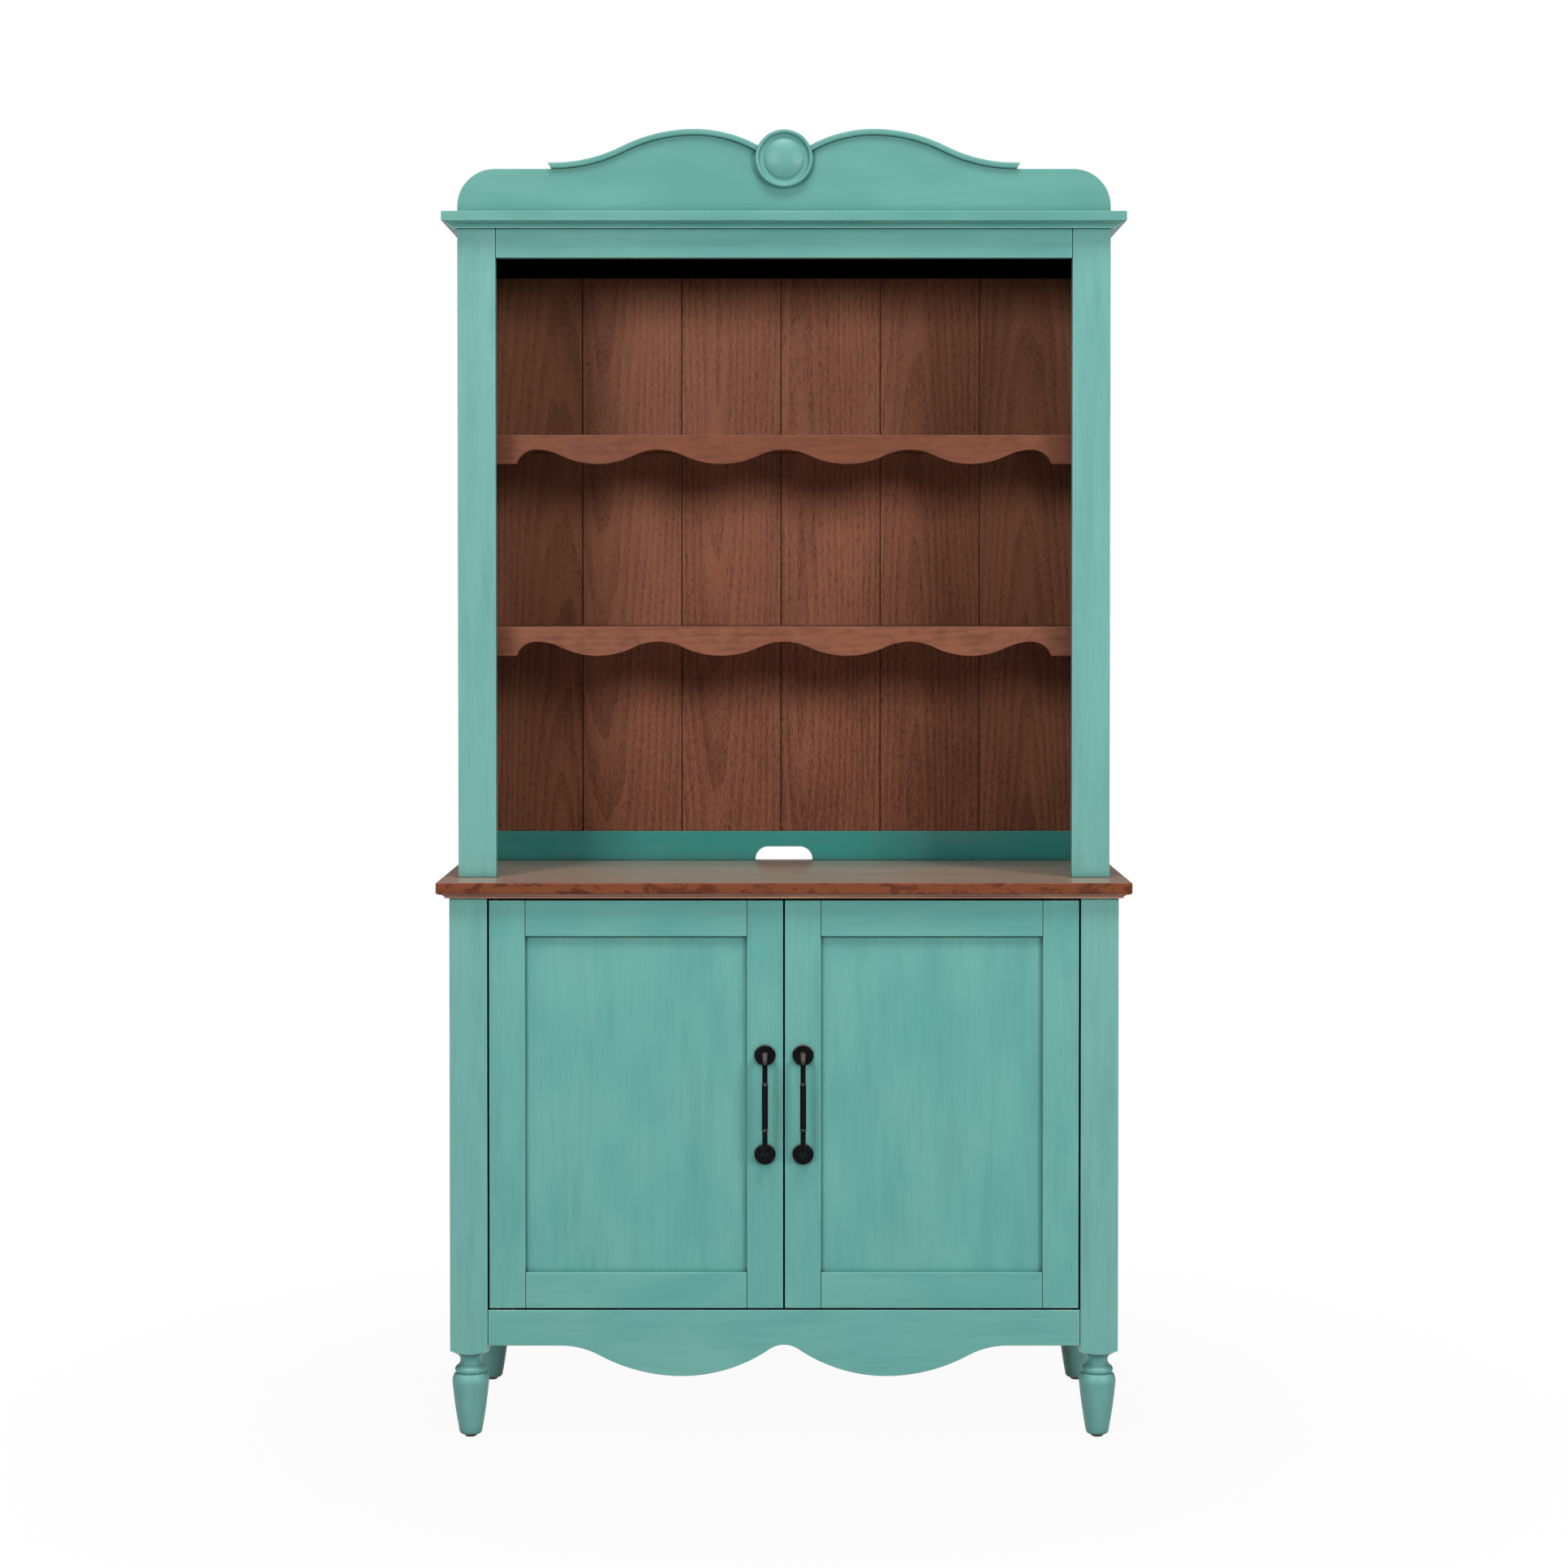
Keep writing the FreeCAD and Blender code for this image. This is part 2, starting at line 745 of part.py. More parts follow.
def plate_screws(side_name, side):
    """The screws of one mending plate: two into the leg below the counter, two into the hutch side."""
    screws = {"leg": [], "hutch": []}
    for number in range(2):
        rise = S.plate_arm - S.plate_screw_inset - S.plate_screw_pitch * number
        for owner, level in (("leg", S.counter_height - rise), ("hutch", S.counter_height + rise)):
            head = (plate_across * side, base_back + S.plate_thickness, level)
            name = f"plate_screw_{side_name}_{owner}_{number}"
            screws[owner].append(Screw(name, "y", head, True, S.plate_screw_length))
    return screws


def spread_screws(name, count, spacing, depth, level, length):
    """Upright screws in a row across the middle, with their heads downwards."""
    screws = []
    for number in range(count):
        across = spacing * (number - (count - 1) / 2)
        screws.append(Screw(f"{name}_{number}", "z", (across, depth, level), False, length, long=True))
    return screws


def pull_screws(side_name, side):
    """The two screws that hold one pull, from behind its door."""
    screws = []
    for number, share in enumerate((-0.5, 0.5)):
        head = (S.pull_from_middle * side, door_back, S.pull_height + S.pull_centres * share)
        length = S.door_thickness + S.pull_screw_grip
        screws.append(Screw(f"pull_screw_{side_name}_{number}", "y", head, True, length, long=True))
    return screws


plate_across = hutch_half - S.plate_from_edge - S.plate_width / 2
LEAF_SCREWS = {
    (name, end): leaf_screws(name, side, end) for name, side in SIDES.items() for end in ("bottom", "top")
}
PLATE_SCREWS = {name: plate_screws(name, side) for name, side in SIDES.items()}
PULL_SCREWS = {name: pull_screws(name, side) for name, side in SIDES.items()}
COUNTER_SCREWS = spread_screws(
    "counter_screw", 4, S.counter_width * S.counter_screw_share, head_rear - S.counter_screw_from_back, head_under,
    S.head_lip + S.counter_screw_grip)
CREST_SCREWS = spread_screws(
    "crest_screw", 3, hutch_half * S.crest_screw_share, hutch_front + S.crest_thickness / 2, hutch_top,
    S.cap_thickness + S.crest_screw_grip)


# The base

def foot_profile():
    """The turned foot from the glide up to the ridge, as radius and height."""
    sole = (S.toe_radius - S.toe_round, S.glide_height)
    toe = (S.toe_radius, S.toe_height)
    bulb = (S.bulb_radius, S.bulb_height)
    shoulder = (S.shoulder_radius, S.shoulder_height)
    quirk = (S.quirk_radius, S.quirk_height)
    bead = (S.bead_top_radius, S.bead_top)
    ridge = (S.ridge_radius, S.ridge_height)
    return [
        ((0, S.glide_height), None),
        (sole, None),
        (toe, bowed(sole, toe, S.toe_swell)),
        (bulb, bowed(toe, bulb, S.taper_swell)),
        (shoulder, bowed(bulb, shoulder, S.shoulder_swell)),
        (quirk, None),
        (bead, bowed(quirk, bead, S.bead_swell)),
        (ridge, bowed(bead, ridge, -S.neck_hollow)),
        ((0, S.ridge_height), None),
    ]


def pommel_profile():
    """What is turned away under the square of the post, as radius and height."""
    ridge = (S.ridge_radius, S.ridge_height)
    corner = (S.post_width * math.sqrt(0.5) + S.post_ease, S.pommel_height)
    return [
        ((S.ridge_radius, S.bead_top), None),
        ((corner[0], S.bead_top), None),
        (corner, None),
        (ridge, bowed(corner, ridge, -S.pommel_hollow)),
    ]


def leg(row, side_name):
    """A square post with a turned foot, grooved for the panels and mortised for the rails."""
    side = SIDES[side_name]
    depth = (base_front, post_rear_of_front) if row == "front" else (post_front_of_back, base_back)
    middle = (depth[0] + depth[1]) / 2
    piece = Piece(f"leg_{row}_{side_name}", (post_axis * side, middle, 0))
    piece.box(span(side, post_inner, base_half), depth, (S.ridge_height, counter_under))
    piece.ease(S.post_ease, upright)
    piece.turn("xz", middle, pommel_profile(), cut=True)
    piece.turn("xz", middle, foot_profile())
    panel_across = widened(span(side, side_inner, side_outer), S.fit)
    panel_height = (S.side_bottom - S.fit, counter_under)
    if row == "front":
        piece.slot(panel_across, (post_rear_of_front - S.groove_depth, post_rear_of_front), panel_height)
        mortise = span(side, post_inner, post_inner + S.tenon_length + S.fit)
        for tenon_depth, tenon_height in (
                (apron_tenon_depth, apron_tenon_height), (head_tenon_depth, head_tenon_height)):
            piece.slot(mortise, widened(tenon_depth, S.fit), widened(tenon_height, S.fit))
    else:
        piece.slot(panel_across, (post_front_of_back, post_front_of_back + S.groove_depth), panel_height)
        groove = span(side, post_inner, post_inner + S.groove_depth)
        piece.slot(groove, widened(back_panel_depth, S.fit), panel_height)
        for plate_screw in PLATE_SCREWS[side_name]["leg"]:
            plate_screw.bore(piece)
    return piece


def foot_glides():
    """A nail-on glide under each foot."""
    glides = []
    for side_name, side in SIDES.items():
        for row in ROWS:
            inset = S.post_width / 2
            deep = base_front + inset if row == "front" else base_back - inset
            glide = Piece(f"glide_{row}_{side_name}", (post_axis * side, deep, 0))
            off_corner = S.glide_round * QUARTER_ROUND_MIDDLE
            profile = [
                ((0, 0), None),
                ((S.glide_radius - S.glide_round, 0), None),
                ((S.glide_radius, S.glide_round), (S.glide_radius - off_corner, off_corner)),
                ((S.glide_radius, S.glide_height), None),
                ((0, S.glide_height), None),
            ]
            glides.append(glide.turn("xz", deep, profile))
    return group("foot_glides", glides)


def base_side(side_name):
    """A side panel between two legs, housed for the floor and bored for the shelf pins."""
    side = SIDES[side_name]
    piece = Piece(f"base_side_{side_name}")
    reach = S.groove_depth - S.fit
    depth = (post_rear_of_front - reach, post_front_of_back + reach)
    piece.box(span(side, side_inner, side_outer), depth, side_height)
    housing = span(side, side_inner, side_inner + S.floor_housing)
    piece.slot(housing, (post_rear_of_front, post_front_of_back), widened(floor_height, S.fit))
    for deep in shelf_pin_depths:
        start = (span(side, side_inner, side_inner + S.pin_seat)[0], deep, shelf_pin_heights)
        piece.bore("x", start, S.pin_radius + S.screw_room, S.pin_seat)
    return piece


def base_back_panel():
    """The back of the base, in grooves of the back legs."""
    reach = post_inner + S.groove_depth - S.fit
    return Piece("base_back_panel").box((-reach, reach), back_panel_depth, side_height)


def base_floor():
    """The floor, housed in the side panels and notched round the legs."""
    piece = Piece("base_floor")
    reach = side_inner + S.floor_housing - S.fit
    piece.box((-reach, reach), (apron_depth[1], back_panel_front), floor_height)
    for side in SIDES.values():
        notch = span(side, post_inner - S.fit, base_half)
        piece.slot(notch, (base_front, post_rear_of_front + S.fit), floor_height)
        piece.slot(notch, (post_front_of_back - S.fit, base_back), floor_height)
    return piece


def front_apron():
    """The scalloped apron, tenoned into the front legs and let in for the lower hinge leaves."""
    piece = Piece("front_apron")
    outline = piece.outline("xz", door_front, (post_inner, S.apron_top))
    outline.line((-post_inner, S.apron_top), (-post_inner, S.apron_end), (-apron_flat, S.apron_end))
    outline.ogee((-apron_trough_across, S.apron_trough), S.apron_outer_turn)
    outline.ogee((0, S.apron_peak), S.apron_inner_turn)
    outline.ogee((apron_trough_across, S.apron_trough), 1 - S.apron_inner_turn)
    outline.ogee((apron_flat, S.apron_end), 1 - S.apron_outer_turn)
    outline.line((post_inner, S.apron_end))
    piece.pad("xz", outline, S.apron_thickness)
    piece.ease(S.edge_ease, facing(door_front))
    for side_name, side in SIDES.items():
        line = span(side, post_inner - S.joint_line_width, post_inner)
        piece.joint_line(line, door_front, (S.apron_end, S.apron_top))
        tenon = span(side, post_inner, post_inner + S.tenon_length)
        piece.box(tenon, apron_tenon_depth, apron_tenon_height)
        mortise = widened(span(side, leaf_near, leaf_far), S.fit)
        piece.slot(mortise, widened(leaf_depth, S.fit), (S.apron_top - S.leaf_thickness, S.apron_top))
        for leaf_screw in LEAF_SCREWS[side_name, "bottom"]["frame"]:
            leaf_screw.bore(piece)
    return piece


def door_head_rail():
    """The rail over the doors: a thin lip above them and a deeper back that carries the catches."""
    piece = Piece("door_head_rail")
    piece.box((-post_inner, post_inner), (door_front, head_rear), (head_under, counter_under))
    piece.box((-post_inner, post_inner), head_depth, head_height)
    for side_name, side in SIDES.items():
        tenon = span(side, post_inner, post_inner + S.tenon_length)
        piece.box(tenon, head_tenon_depth, head_tenon_height)
        mortise = widened(span(side, leaf_near, leaf_far), S.fit)
        piece.slot(mortise, widened(leaf_depth, S.fit), (head_under, head_under + S.leaf_thickness))
        for leaf_screw in LEAF_SCREWS[side_name, "top"]["frame"]:
            leaf_screw.bore(piece)
    for counter_screw in COUNTER_SCREWS:
        counter_screw.seat(piece)
    return piece


def counter_top():
    """The stained top of the base."""
    half = S.counter_width / 2
    piece = Piece("counter_top")
    piece.box((-half, half), (counter_front, base_back), (counter_under, S.counter_height))
    piece.ease(S.counter_edge)
    for side_name in SIDES:
        for leaf_screw in LEAF_SCREWS[side_name, "top"]["frame"]:
            leaf_screw.bore(piece)
    for counter_screw in COUNTER_SCREWS:
        counter_screw.bore(piece)
    return piece


def cove_outline(piece, plane, level, wall, outwards, top, height, top_reach, foot_reach):
    """The section of a cove moulding that hangs under a board and stands out from a wall."""
    low = top - height
    upper = (wall + top_reach * outwards, top - S.moulding_fillet)
    lower = (wall + foot_reach * outwards, low + S.moulding_fillet)
    middle = between(upper, lower, 0.5)
    via = (middle[0] - S.moulding_hollow * outwards, middle[1] + S.moulding_hollow)
    outline = piece.outline(plane, level, (wall, top))
    outline.line((wall + top_reach * outwards, top), upper).arc(via, lower)
    return outline.line((wall + foot_reach * outwards, low), (wall, low))


def mitred_mouldings(name, half, front, back, top, height, top_reach, foot_reach):
    """A cove moulding along the front and both ends, in three pieces that meet in mitres."""
    run = half + top_reach
    level = (top - height, top)
    waste = top_reach * 2
    along = Piece(f"{name}_front")
    section = cove_outline(along, "yz", -run, front, -1, top, height, top_reach, foot_reach)
    along.pad("yz", section, run * 2)
    along.mitre((half, front), MITRE_WASTE["front_right"], waste, level)
    along.mitre((-half, front), MITRE_WASTE["front_left"], waste, level)
    pieces = [along]
    for side_name, side in SIDES.items():
        end = Piece(f"{name}_{side_name}")
        start = front - top_reach
        section = cove_outline(end, "xz", start, half * side, side, top, height, top_reach, foot_reach)
        end.pad("xz", section, back - start)
        end.mitre((half * side, front), MITRE_WASTE[side_name], waste, level)
        pieces.append(end)
    return group(name, pieces)


def counter_mouldings():
    """The cove under the counter."""
    return mitred_mouldings(
        "counter_mouldings", base_half, base_front, base_back, counter_under,
        S.counter_moulding_height, S.counter_moulding_top, S.counter_moulding_foot)


def inner_shelf():
    """The loose shelf behind the doors."""
    reach = side_inner - S.inner_shelf_play / 2
    height = (S.inner_shelf_height - S.inner_shelf_thickness, S.inner_shelf_height)
    return Piece("inner_shelf").box((-reach, reach), inner_shelf_depth, height).ease(S.edge_ease)


def shelf_pins():
    """The four pins that carry the inner shelf."""
    pins = []
    for side_name, side in SIDES.items():
        for number, deep in enumerate(shelf_pin_depths):
            pin = doc.addObject("Part::Cylinder", f"shelf_pin_{side_name}_{number}")
            start = span(side, side_inner - S.pin_reach, side_inner + S.pin_seat - S.fit)[0]
            place(pin, (start, deep, shelf_pin_heights), TURN_TO_AXIS["x"])
            bind(pin, Radius=S.pin_radius, Height=S.pin_reach + S.pin_seat - S.fit)
            pins.append(pin)
    return group("shelf_pins", pins)


def magnetic_catches():
    """A catch behind the free edge of each door."""
    catches = []
    for side_name, side in SIDES.items():
        catch = Piece(f"magnetic_catch_{side_name}")
        front = door_back + S.strike_thickness + S.catch_play
        catch.box(span(side, catch_near, catch_far), (front, head_rear), catch_height)
        catches.append(catch.ease(S.edge_ease))
    return group("magnetic_catches", catches)


def hinge_frame_leaves():
    """The leaves let into the apron and the head rail, each with a collar and a pivot pin."""
    leaves = []
    for side_name, side in SIDES.items():
        for end in ("bottom", "top"):
            leaf = Piece(f"hinge_frame_leaf_{side_name}_{end}")
            collar = S.door_gap - S.pivot_collar_play
            pin = S.door_gap + S.pivot_reach
            low = end == "bottom"
            face = S.apron_top if low else head_under
            height = (face - S.leaf_thickness, face) if low else (face, face + S.leaf_thickness)
            leaf.box(span(side, leaf_near, leaf_far), leaf_depth, height)
            for radius, length in ((S.pivot_collar_radius, collar), (S.pivot_radius, pin)):
                start = face if low else face - length
                leaf.rod("z", (pivot_across * side, pivot_deep, start), radius, length)
            for leaf_screw in LEAF_SCREWS[side_name, end]["frame"]:
                leaf_screw.seat(leaf)
            leaves.append(leaf)
    return group("hinge_frame_leaves", leaves)


def mending_plates():
    """The plates that hold the hutch to the base at the back."""
    plates = []
    for side_name, side in SIDES.items():
        plate = Piece(f"mending_plate_{side_name}")
        half = S.plate_width / 2
        across = (plate_across * side - half, plate_across * side + half)
        height = (S.counter_height - S.plate_arm, S.counter_height + S.plate_arm)
        plate.box(across, (base_back, base_back + S.plate_thickness), height)
        for plate_screw in PLATE_SCREWS[side_name]["leg"] + PLATE_SCREWS[side_name]["hutch"]:
            plate_screw.seat(plate)
        plates.append(plate)
    return group("mending_plates", plates)


def cabinet_screws():
    """Every screw of the standing part."""
    screws = COUNTER_SCREWS + CREST_SCREWS
    for side_name in SIDES:
        screws = screws + PLATE_SCREWS[side_name]["leg"] + PLATE_SCREWS[side_name]["hutch"]
        for end in ("bottom", "top"):
            screws = screws + LEAF_SCREWS[side_name, end]["frame"]
    return group("cabinet_screws", [one.solid() for one in screws])


# The hutch

def hutch_side(side_name):
    """A side of the hutch, housed for the shelves, the top and the back."""
    side = SIDES[side_name]
    piece = Piece(f"hutch_side_{side_name}")
    depth = (stile_back, hutch_back)
    piece.box(span(side, hutch_side_inner, hutch_half), depth, (S.counter_height, hutch_top))
    housing = span(side, hutch_side_inner, hutch_side_inner + S.housing_depth)
    groove = span(side, hutch_side_inner, hutch_side_inner + S.groove_depth)
    piece.slot(groove, board_room, (S.counter_height, hutch_top))
    piece.slot(housing, (back_rail_front - S.fit, hutch_back), (S.counter_height, back_rail_top + S.fit))
    piece.slot(housing, (stile_back, board_front), widened(top_panel_height, S.fit))
    for height in shelf_heights.values():
        piece.slot(housing, (valance_back - S.fit, board_front), widened(height, S.fit))
    for plate_screw in PLATE_SCREWS[side_name]["hutch"]:
        plate_screw.bore(piece)
    return piece


def hutch_stile(side_name):
    """A stile of the hutch's face frame."""
    side = SIDES[side_name]
    piece = Piece(f"hutch_stile_{side_name}")
    piece.box(span(side, stile_inner, hutch_half), (hutch_front, stile_back), (S.counter_height, hutch_top))
    piece.ease(S.edge_ease)
    mortise = span(side, stile_inner, stile_inner + S.tenon_length + S.fit)
    piece.slot(mortise, widened(hutch_tenon_depth, S.fit), widened(hutch_tenon_height, S.fit))
    return piece


def hutch_head_rail():
    """The rail between the stiles."""
    piece = Piece("hutch_head_rail")
    piece.box((-stile_inner, stile_inner), hutch_rail_depth, (hutch_rail_under, hutch_top))
    piece.ease(S.edge_ease)
    for side in SIDES.values():
        line = span(side, stile_inner - S.joint_line_width, stile_inner)
        piece.joint_line(line, hutch_rail_depth[0], (hutch_rail_under, hutch_top))
        tenon = span(side, stile_inner - S.edge_ease, stile_inner + S.tenon_length)
        piece.box(tenon, hutch_tenon_depth, hutch_tenon_height)
    return piece


def hutch_top_panel():
    """The panel that closes the hutch, in front of the back boards."""
    reach = hutch_side_inner + S.housing_depth - S.fit
    return Piece("hutch_top_panel").box((-reach, reach), (stile_back, board_front), top_panel_height)


def hutch_back_rail():
    """The rail along the counter, with its cable notch and a groove for the back boards."""
    reach = hutch_side_inner + S.housing_depth - S.fit
    half = S.cable_notch_width / 2
    corner = half - S.cable_notch_corner
    low = S.counter_height
    notch_top = low + S.cable_notch_height
    notch_side = notch_top - S.cable_notch_corner
    piece = Piece("hutch_back_rail")
    outline = piece.outline("xz", back_rail_front, (reach, back_rail_top))
    outline.line((-reach, back_rail_top), (-reach, low), (-half, low), (-half, notch_side))
    outline.sweep((-corner, notch_top), -corner)
    outline.line((corner, notch_top))
    outline.sweep((half, notch_side), corner)
    outline.line((half, low), (reach, low))
    piece.pad("xz", outline, S.back_rail_thickness)
    piece.ease(S.edge_ease, facing(back_rail_front))
    return piece.slot((-reach, reach), board_room, (back_rail_top - S.groove_depth, back_rail_top))


def back_board(number):
    """One of the back boards, tongued on its right edge and grooved on its left."""
    reach = hutch_side_inner + S.groove_depth - S.fit
    middle = BOARD_COUNT / 2
    left = -reach if number == 0 else S.board_shift + board_pitch * (number - middle)
    last = number == BOARD_COUNT - 1
    right = reach if last else S.board_shift + board_pitch * (number + 1 - middle)
    height = (back_rail_top - S.groove_depth + S.fit, hutch_top)
    tongue_depth = centred(board_depth, S.board_tongue_thickness)
    piece = Piece(f"back_board_{number + 1}")
    piece.box((left, right), board_depth, height)
    piece.ease(S.edge_ease)
    if not last:
        piece.joint_line((right - S.joint_line_width, right), board_front, height)
        piece.box((right - S.edge_ease, right + S.board_tongue), tongue_depth, height)
    if number > 0:
        groove = (left, left + S.board_tongue + S.fit)
        piece.slot(groove, widened(tongue_depth, S.fit), height)
    return piece


def hutch_shelf(name):
    """A shelf of the hutch, housed in its sides."""
    reach = hutch_side_inner + S.housing_depth - S.fit
    return Piece(f"{name}_shelf").box((-reach, reach), (valance_back, board_front), shelf_heights[name])


def shelf_valance(name):
    """The scalloped valance along the front of a shelf."""
    top = shelf_tops[name]
    low = top - S.valance_height
    high = low + S.scallop_height
    reach = hutch_side_inner - S.fit
    peaks = [as_size(0), scallop_inner_pitch, scallop_inner_pitch + scallop_outer_pitch]
    across = [-peak for peak in reversed(peaks)] + peaks[1:]
    piece = Piece(f"{name}_shelf_valance")
    outline = piece.outline("xz", valance_front, (reach, top))
    outline.line((-reach, top), (-reach, low), (across[0] - scallop_end, low))
    outline.sweep((across[0], high), across[0])
    for left, right in zip(across, across[1:]):
        outline.ogee(((left + right) / 2, low), S.scallop_turn)
        outline.ogee((right, high), 1 - S.scallop_turn)
    outline.sweep((across[-1] + scallop_end, low), across[-1])
    outline.line((reach, low))
    piece.pad("xz", outline, S.valance_thickness)
    return piece.ease(S.edge_ease, facing(valance_front))


# The cornice and the crest

def cornice_cap():
    """The cap board of the cornice."""
    reach = hutch_half + S.cap_overhang
    piece = Piece("cornice_cap")
    piece.box((-reach, reach), (hutch_front - S.cap_overhang, hutch_back), (hutch_top, cap_top))
    piece.ease(S.cap_edge)
    for crest_screw in CREST_SCREWS:
        crest_screw.seat(piece)
    return piece


def cornice_mouldings():
    """The cove under the cap."""
    return mitred_mouldings(
        "cornice_mouldings", hutch_half, hutch_front, hutch_back, hutch_top,
        S.cornice_moulding_height, S.cornice_moulding_top, S.cornice_moulding_foot)


def crest_board():
    """The board with two humps that stands on the cap."""
    corner = hutch_half - S.crest_corner
    side_top = shoulder_top - S.crest_corner
    piece = Piece("crest_board")
    outline = piece.outline("xz", hutch_front, (-hutch_half, cap_top))
    outline.line((hutch_half, cap_top), (hutch_half, side_top))
    outline.sweep((corner, shoulder_top), corner)
    outline.line((hump_start, shoulder_top))
    outline.ogee((hump_across, hump_top), S.hump_turn)
    outline.sweep((0, valley), hump_across)
    outline.sweep((-hump_across, hump_top), -hump_across)
    outline.ogee((-hump_start, shoulder_top), 1 - S.hump_turn)
    outline.line((-corner, shoulder_top))
    outline.sweep((-hutch_half, side_top), -corner)
    piece.pad("xz", outline, S.crest_thickness)

    def outer_edge(edge):
        return facing(hutch_front)(edge) and abs(edge.CenterOfMass.x) > hump_start.number
    piece.ease(S.edge_ease, outer_edge)
    backing = S.rosette_radius - S.rosette_backing
    piece.rod("y", (0, hutch_front, rosette_middle), backing, S.crest_thickness)
    for crest_screw in CREST_SCREWS:
        crest_screw.bore(piece)
    return piece


def crest_bead(side_name):
    """The bead along one hump, as thick all the way, cut off slantwise outside and by the rosette inside."""
    side = SIDES[side_name]
    thick = S.crest_bead_thickness
    rise = S.hump_height * (1 - S.hump_turn)
    run = (hump_start - hump_across) * (1 - S.hump_turn)
    curve = (run * run + rise * rise) / (rise * 2)
    fall = (hump_across * hump_across + S.hump_fall * S.hump_fall) / (S.hump_fall * 2)
    start = (hump_start * side, shoulder_top)
    peak = (hump_across * side, hump_top)
    turn = between(start, peak, S.hump_turn)
    outer_turn = (
        turn[0] + thick * (turn[0] - peak[0]) / curve,
        turn[1] + thick * (turn[1] - peak[1] + curve) / curve)
    inner_top = hump_top - fall + root((fall + thick) * (fall + thick) - hump_across * hump_across)
    tail = hump_start + S.crest_bead_tail
    front = hutch_front - S.crest_bead_proud
    piece = Piece(f"crest_bead_{side_name}")
    outline = piece.outline("xz", front, ((tail - S.crest_bead_slant) * side, shoulder_top))
    outline.line(start)
    outline.sweep(turn, start[0]).sweep(peak, peak[0])
    outline.sweep((0, valley), peak[0])
    outline.line((0, inner_top))
    outline.sweep((peak[0], hump_top + thick), peak[0])
    outline.sweep(outer_turn, peak[0]).sweep((start[0], shoulder_top + thick), start[0])
    outline.line((tail * side, shoulder_top + thick))
    piece.pad("xz", outline, S.crest_bead_proud + S.crest_thickness)
    long_edge = facing(front)
    piece.ease(S.crest_bead_round, lambda edge: long_edge(edge) and edge.Length > thick.number * 2)
    clear = S.rosette_radius + S.rosette_gap
    return piece.bore("y", (0, front, rosette_middle), clear, S.crest_bead_proud + S.crest_thickness)


def crest_beads():
    """The beads along both humps."""
    return group("crest_beads", [crest_bead(name) for name in SIDES])


def crest_rosette():
    """The turned rosette between the humps: a rounded rim, a hollow and a low dome."""
    rim = S.rosette_radius - S.rosette_rim_width
    rim_outer = (S.rosette_radius, -S.rosette_edge)
    rim_inner = (rim, -S.rosette_edge)
    dome = (S.rosette_dome_radius, -S.rosette_dome_foot)
    rim_middle = between(rim_outer, rim_inner, 0.5)
    hollow = between(rim_inner, dome, 0.5)
    crown = (S.rosette_dome_height - S.rosette_dome_foot) / 4
    profile = [
        ((0, 0), None),
        ((S.rosette_radius, 0), None),
        (rim_outer, None),
        (rim_inner, (rim_middle[0], rim_middle[1] - S.rosette_rim_swell)),
        (dome, (hollow[0], hollow[1] + S.rosette_hollow_depth)),
        ((0, -S.rosette_dome_height), (S.rosette_dome_radius / 2, crown - S.rosette_dome_height)),
    ]
    piece = Piece("crest_rosette", (0, hutch_front, rosette_middle))
    return piece.turn("xy", rosette_middle, profile)


# The doors

def door_stile(side_name, place_name):
    """A stile of a door, grooved for the panel; the outer one is let in for the hinge leaves."""
    side = SIDES[side_name]
    piece = Piece(f"{side_name}_door_{place_name}_stile")
    if place_name == "hinge":
        edges = (door_outer - S.door_frame, door_outer)
        groove = (edges[0], edges[0] + S.groove_depth)
    else:
        edges = (door_inner, door_inner + S.door_frame)
        groove = (edges[1] - S.groove_depth, edges[1])
    piece.box(span(side, *edges), (door_front, door_back), door_height)
    piece.ease(S.edge_ease)
    piece.slot(span(side, *groove), panel_room, door_height)
    if place_name == "lock":
        for pull_screw in PULL_SCREWS[side_name]:
            pull_screw.seat(piece)
        strike = strike_place(side_name)
        piece.bore("y", (strike[0], strike[1] - S.strike_screw_grip, strike[2]),
                   S.screw_radius + S.screw_room, S.strike_screw_grip)
        return piece
    mortise = widened(span(side, leaf_near, leaf_far), S.fit)
    tip = S.pivot_radius + S.pivot_tip_room
    deep = S.pivot_reach + S.pivot_tip_room
    for end, level, inwards in (("bottom", door_bottom, 1), ("top", door_top, -1)):
        sunk = level + S.leaf_thickness * inwards
        height = (level, sunk) if inwards > 0 else (sunk, level)
        piece.slot(mortise, widened(leaf_depth, S.fit), height)
        start = level if inwards > 0 else level - deep
        piece.bore("z", (pivot_across * side, pivot_deep, start), tip, deep)
        for leaf_screw in LEAF_SCREWS[side_name, end]["door"]:
            leaf_screw.bore(piece)
    return piece


def door_rail(side_name, end):
    """A rail of a door, tongued into the stiles and grooved for the panel."""
    side = SIDES[side_name]
    piece = Piece(f"{side_name}_door_{end}_rail")
    inner = door_inner + S.door_frame
    outer = door_outer - S.door_frame
    tongue = S.groove_depth - S.fit
    if end == "top":
        height = (door_top - S.door_frame, door_top)
        groove = (height[0], height[0] + S.groove_depth)
    else:
        height = (door_bottom, door_bottom + S.door_frame)
        groove = (height[1] - S.groove_depth, height[1])
    piece.box(span(side, inner, outer), (door_front, door_back), height)
    piece.ease(S.edge_ease)
    piece.box(span(side, inner - tongue, inner + S.edge_ease), panel_span, height)
    piece.box(span(side, outer - S.edge_ease, outer + tongue), panel_span, height)
    for start in (inner, outer - S.joint_line_width):
        piece.joint_line(span(side, start, start + S.joint_line_width), door_front, height)
    return piece.slot(span(side, inner - tongue, outer + tongue), panel_room, groove)


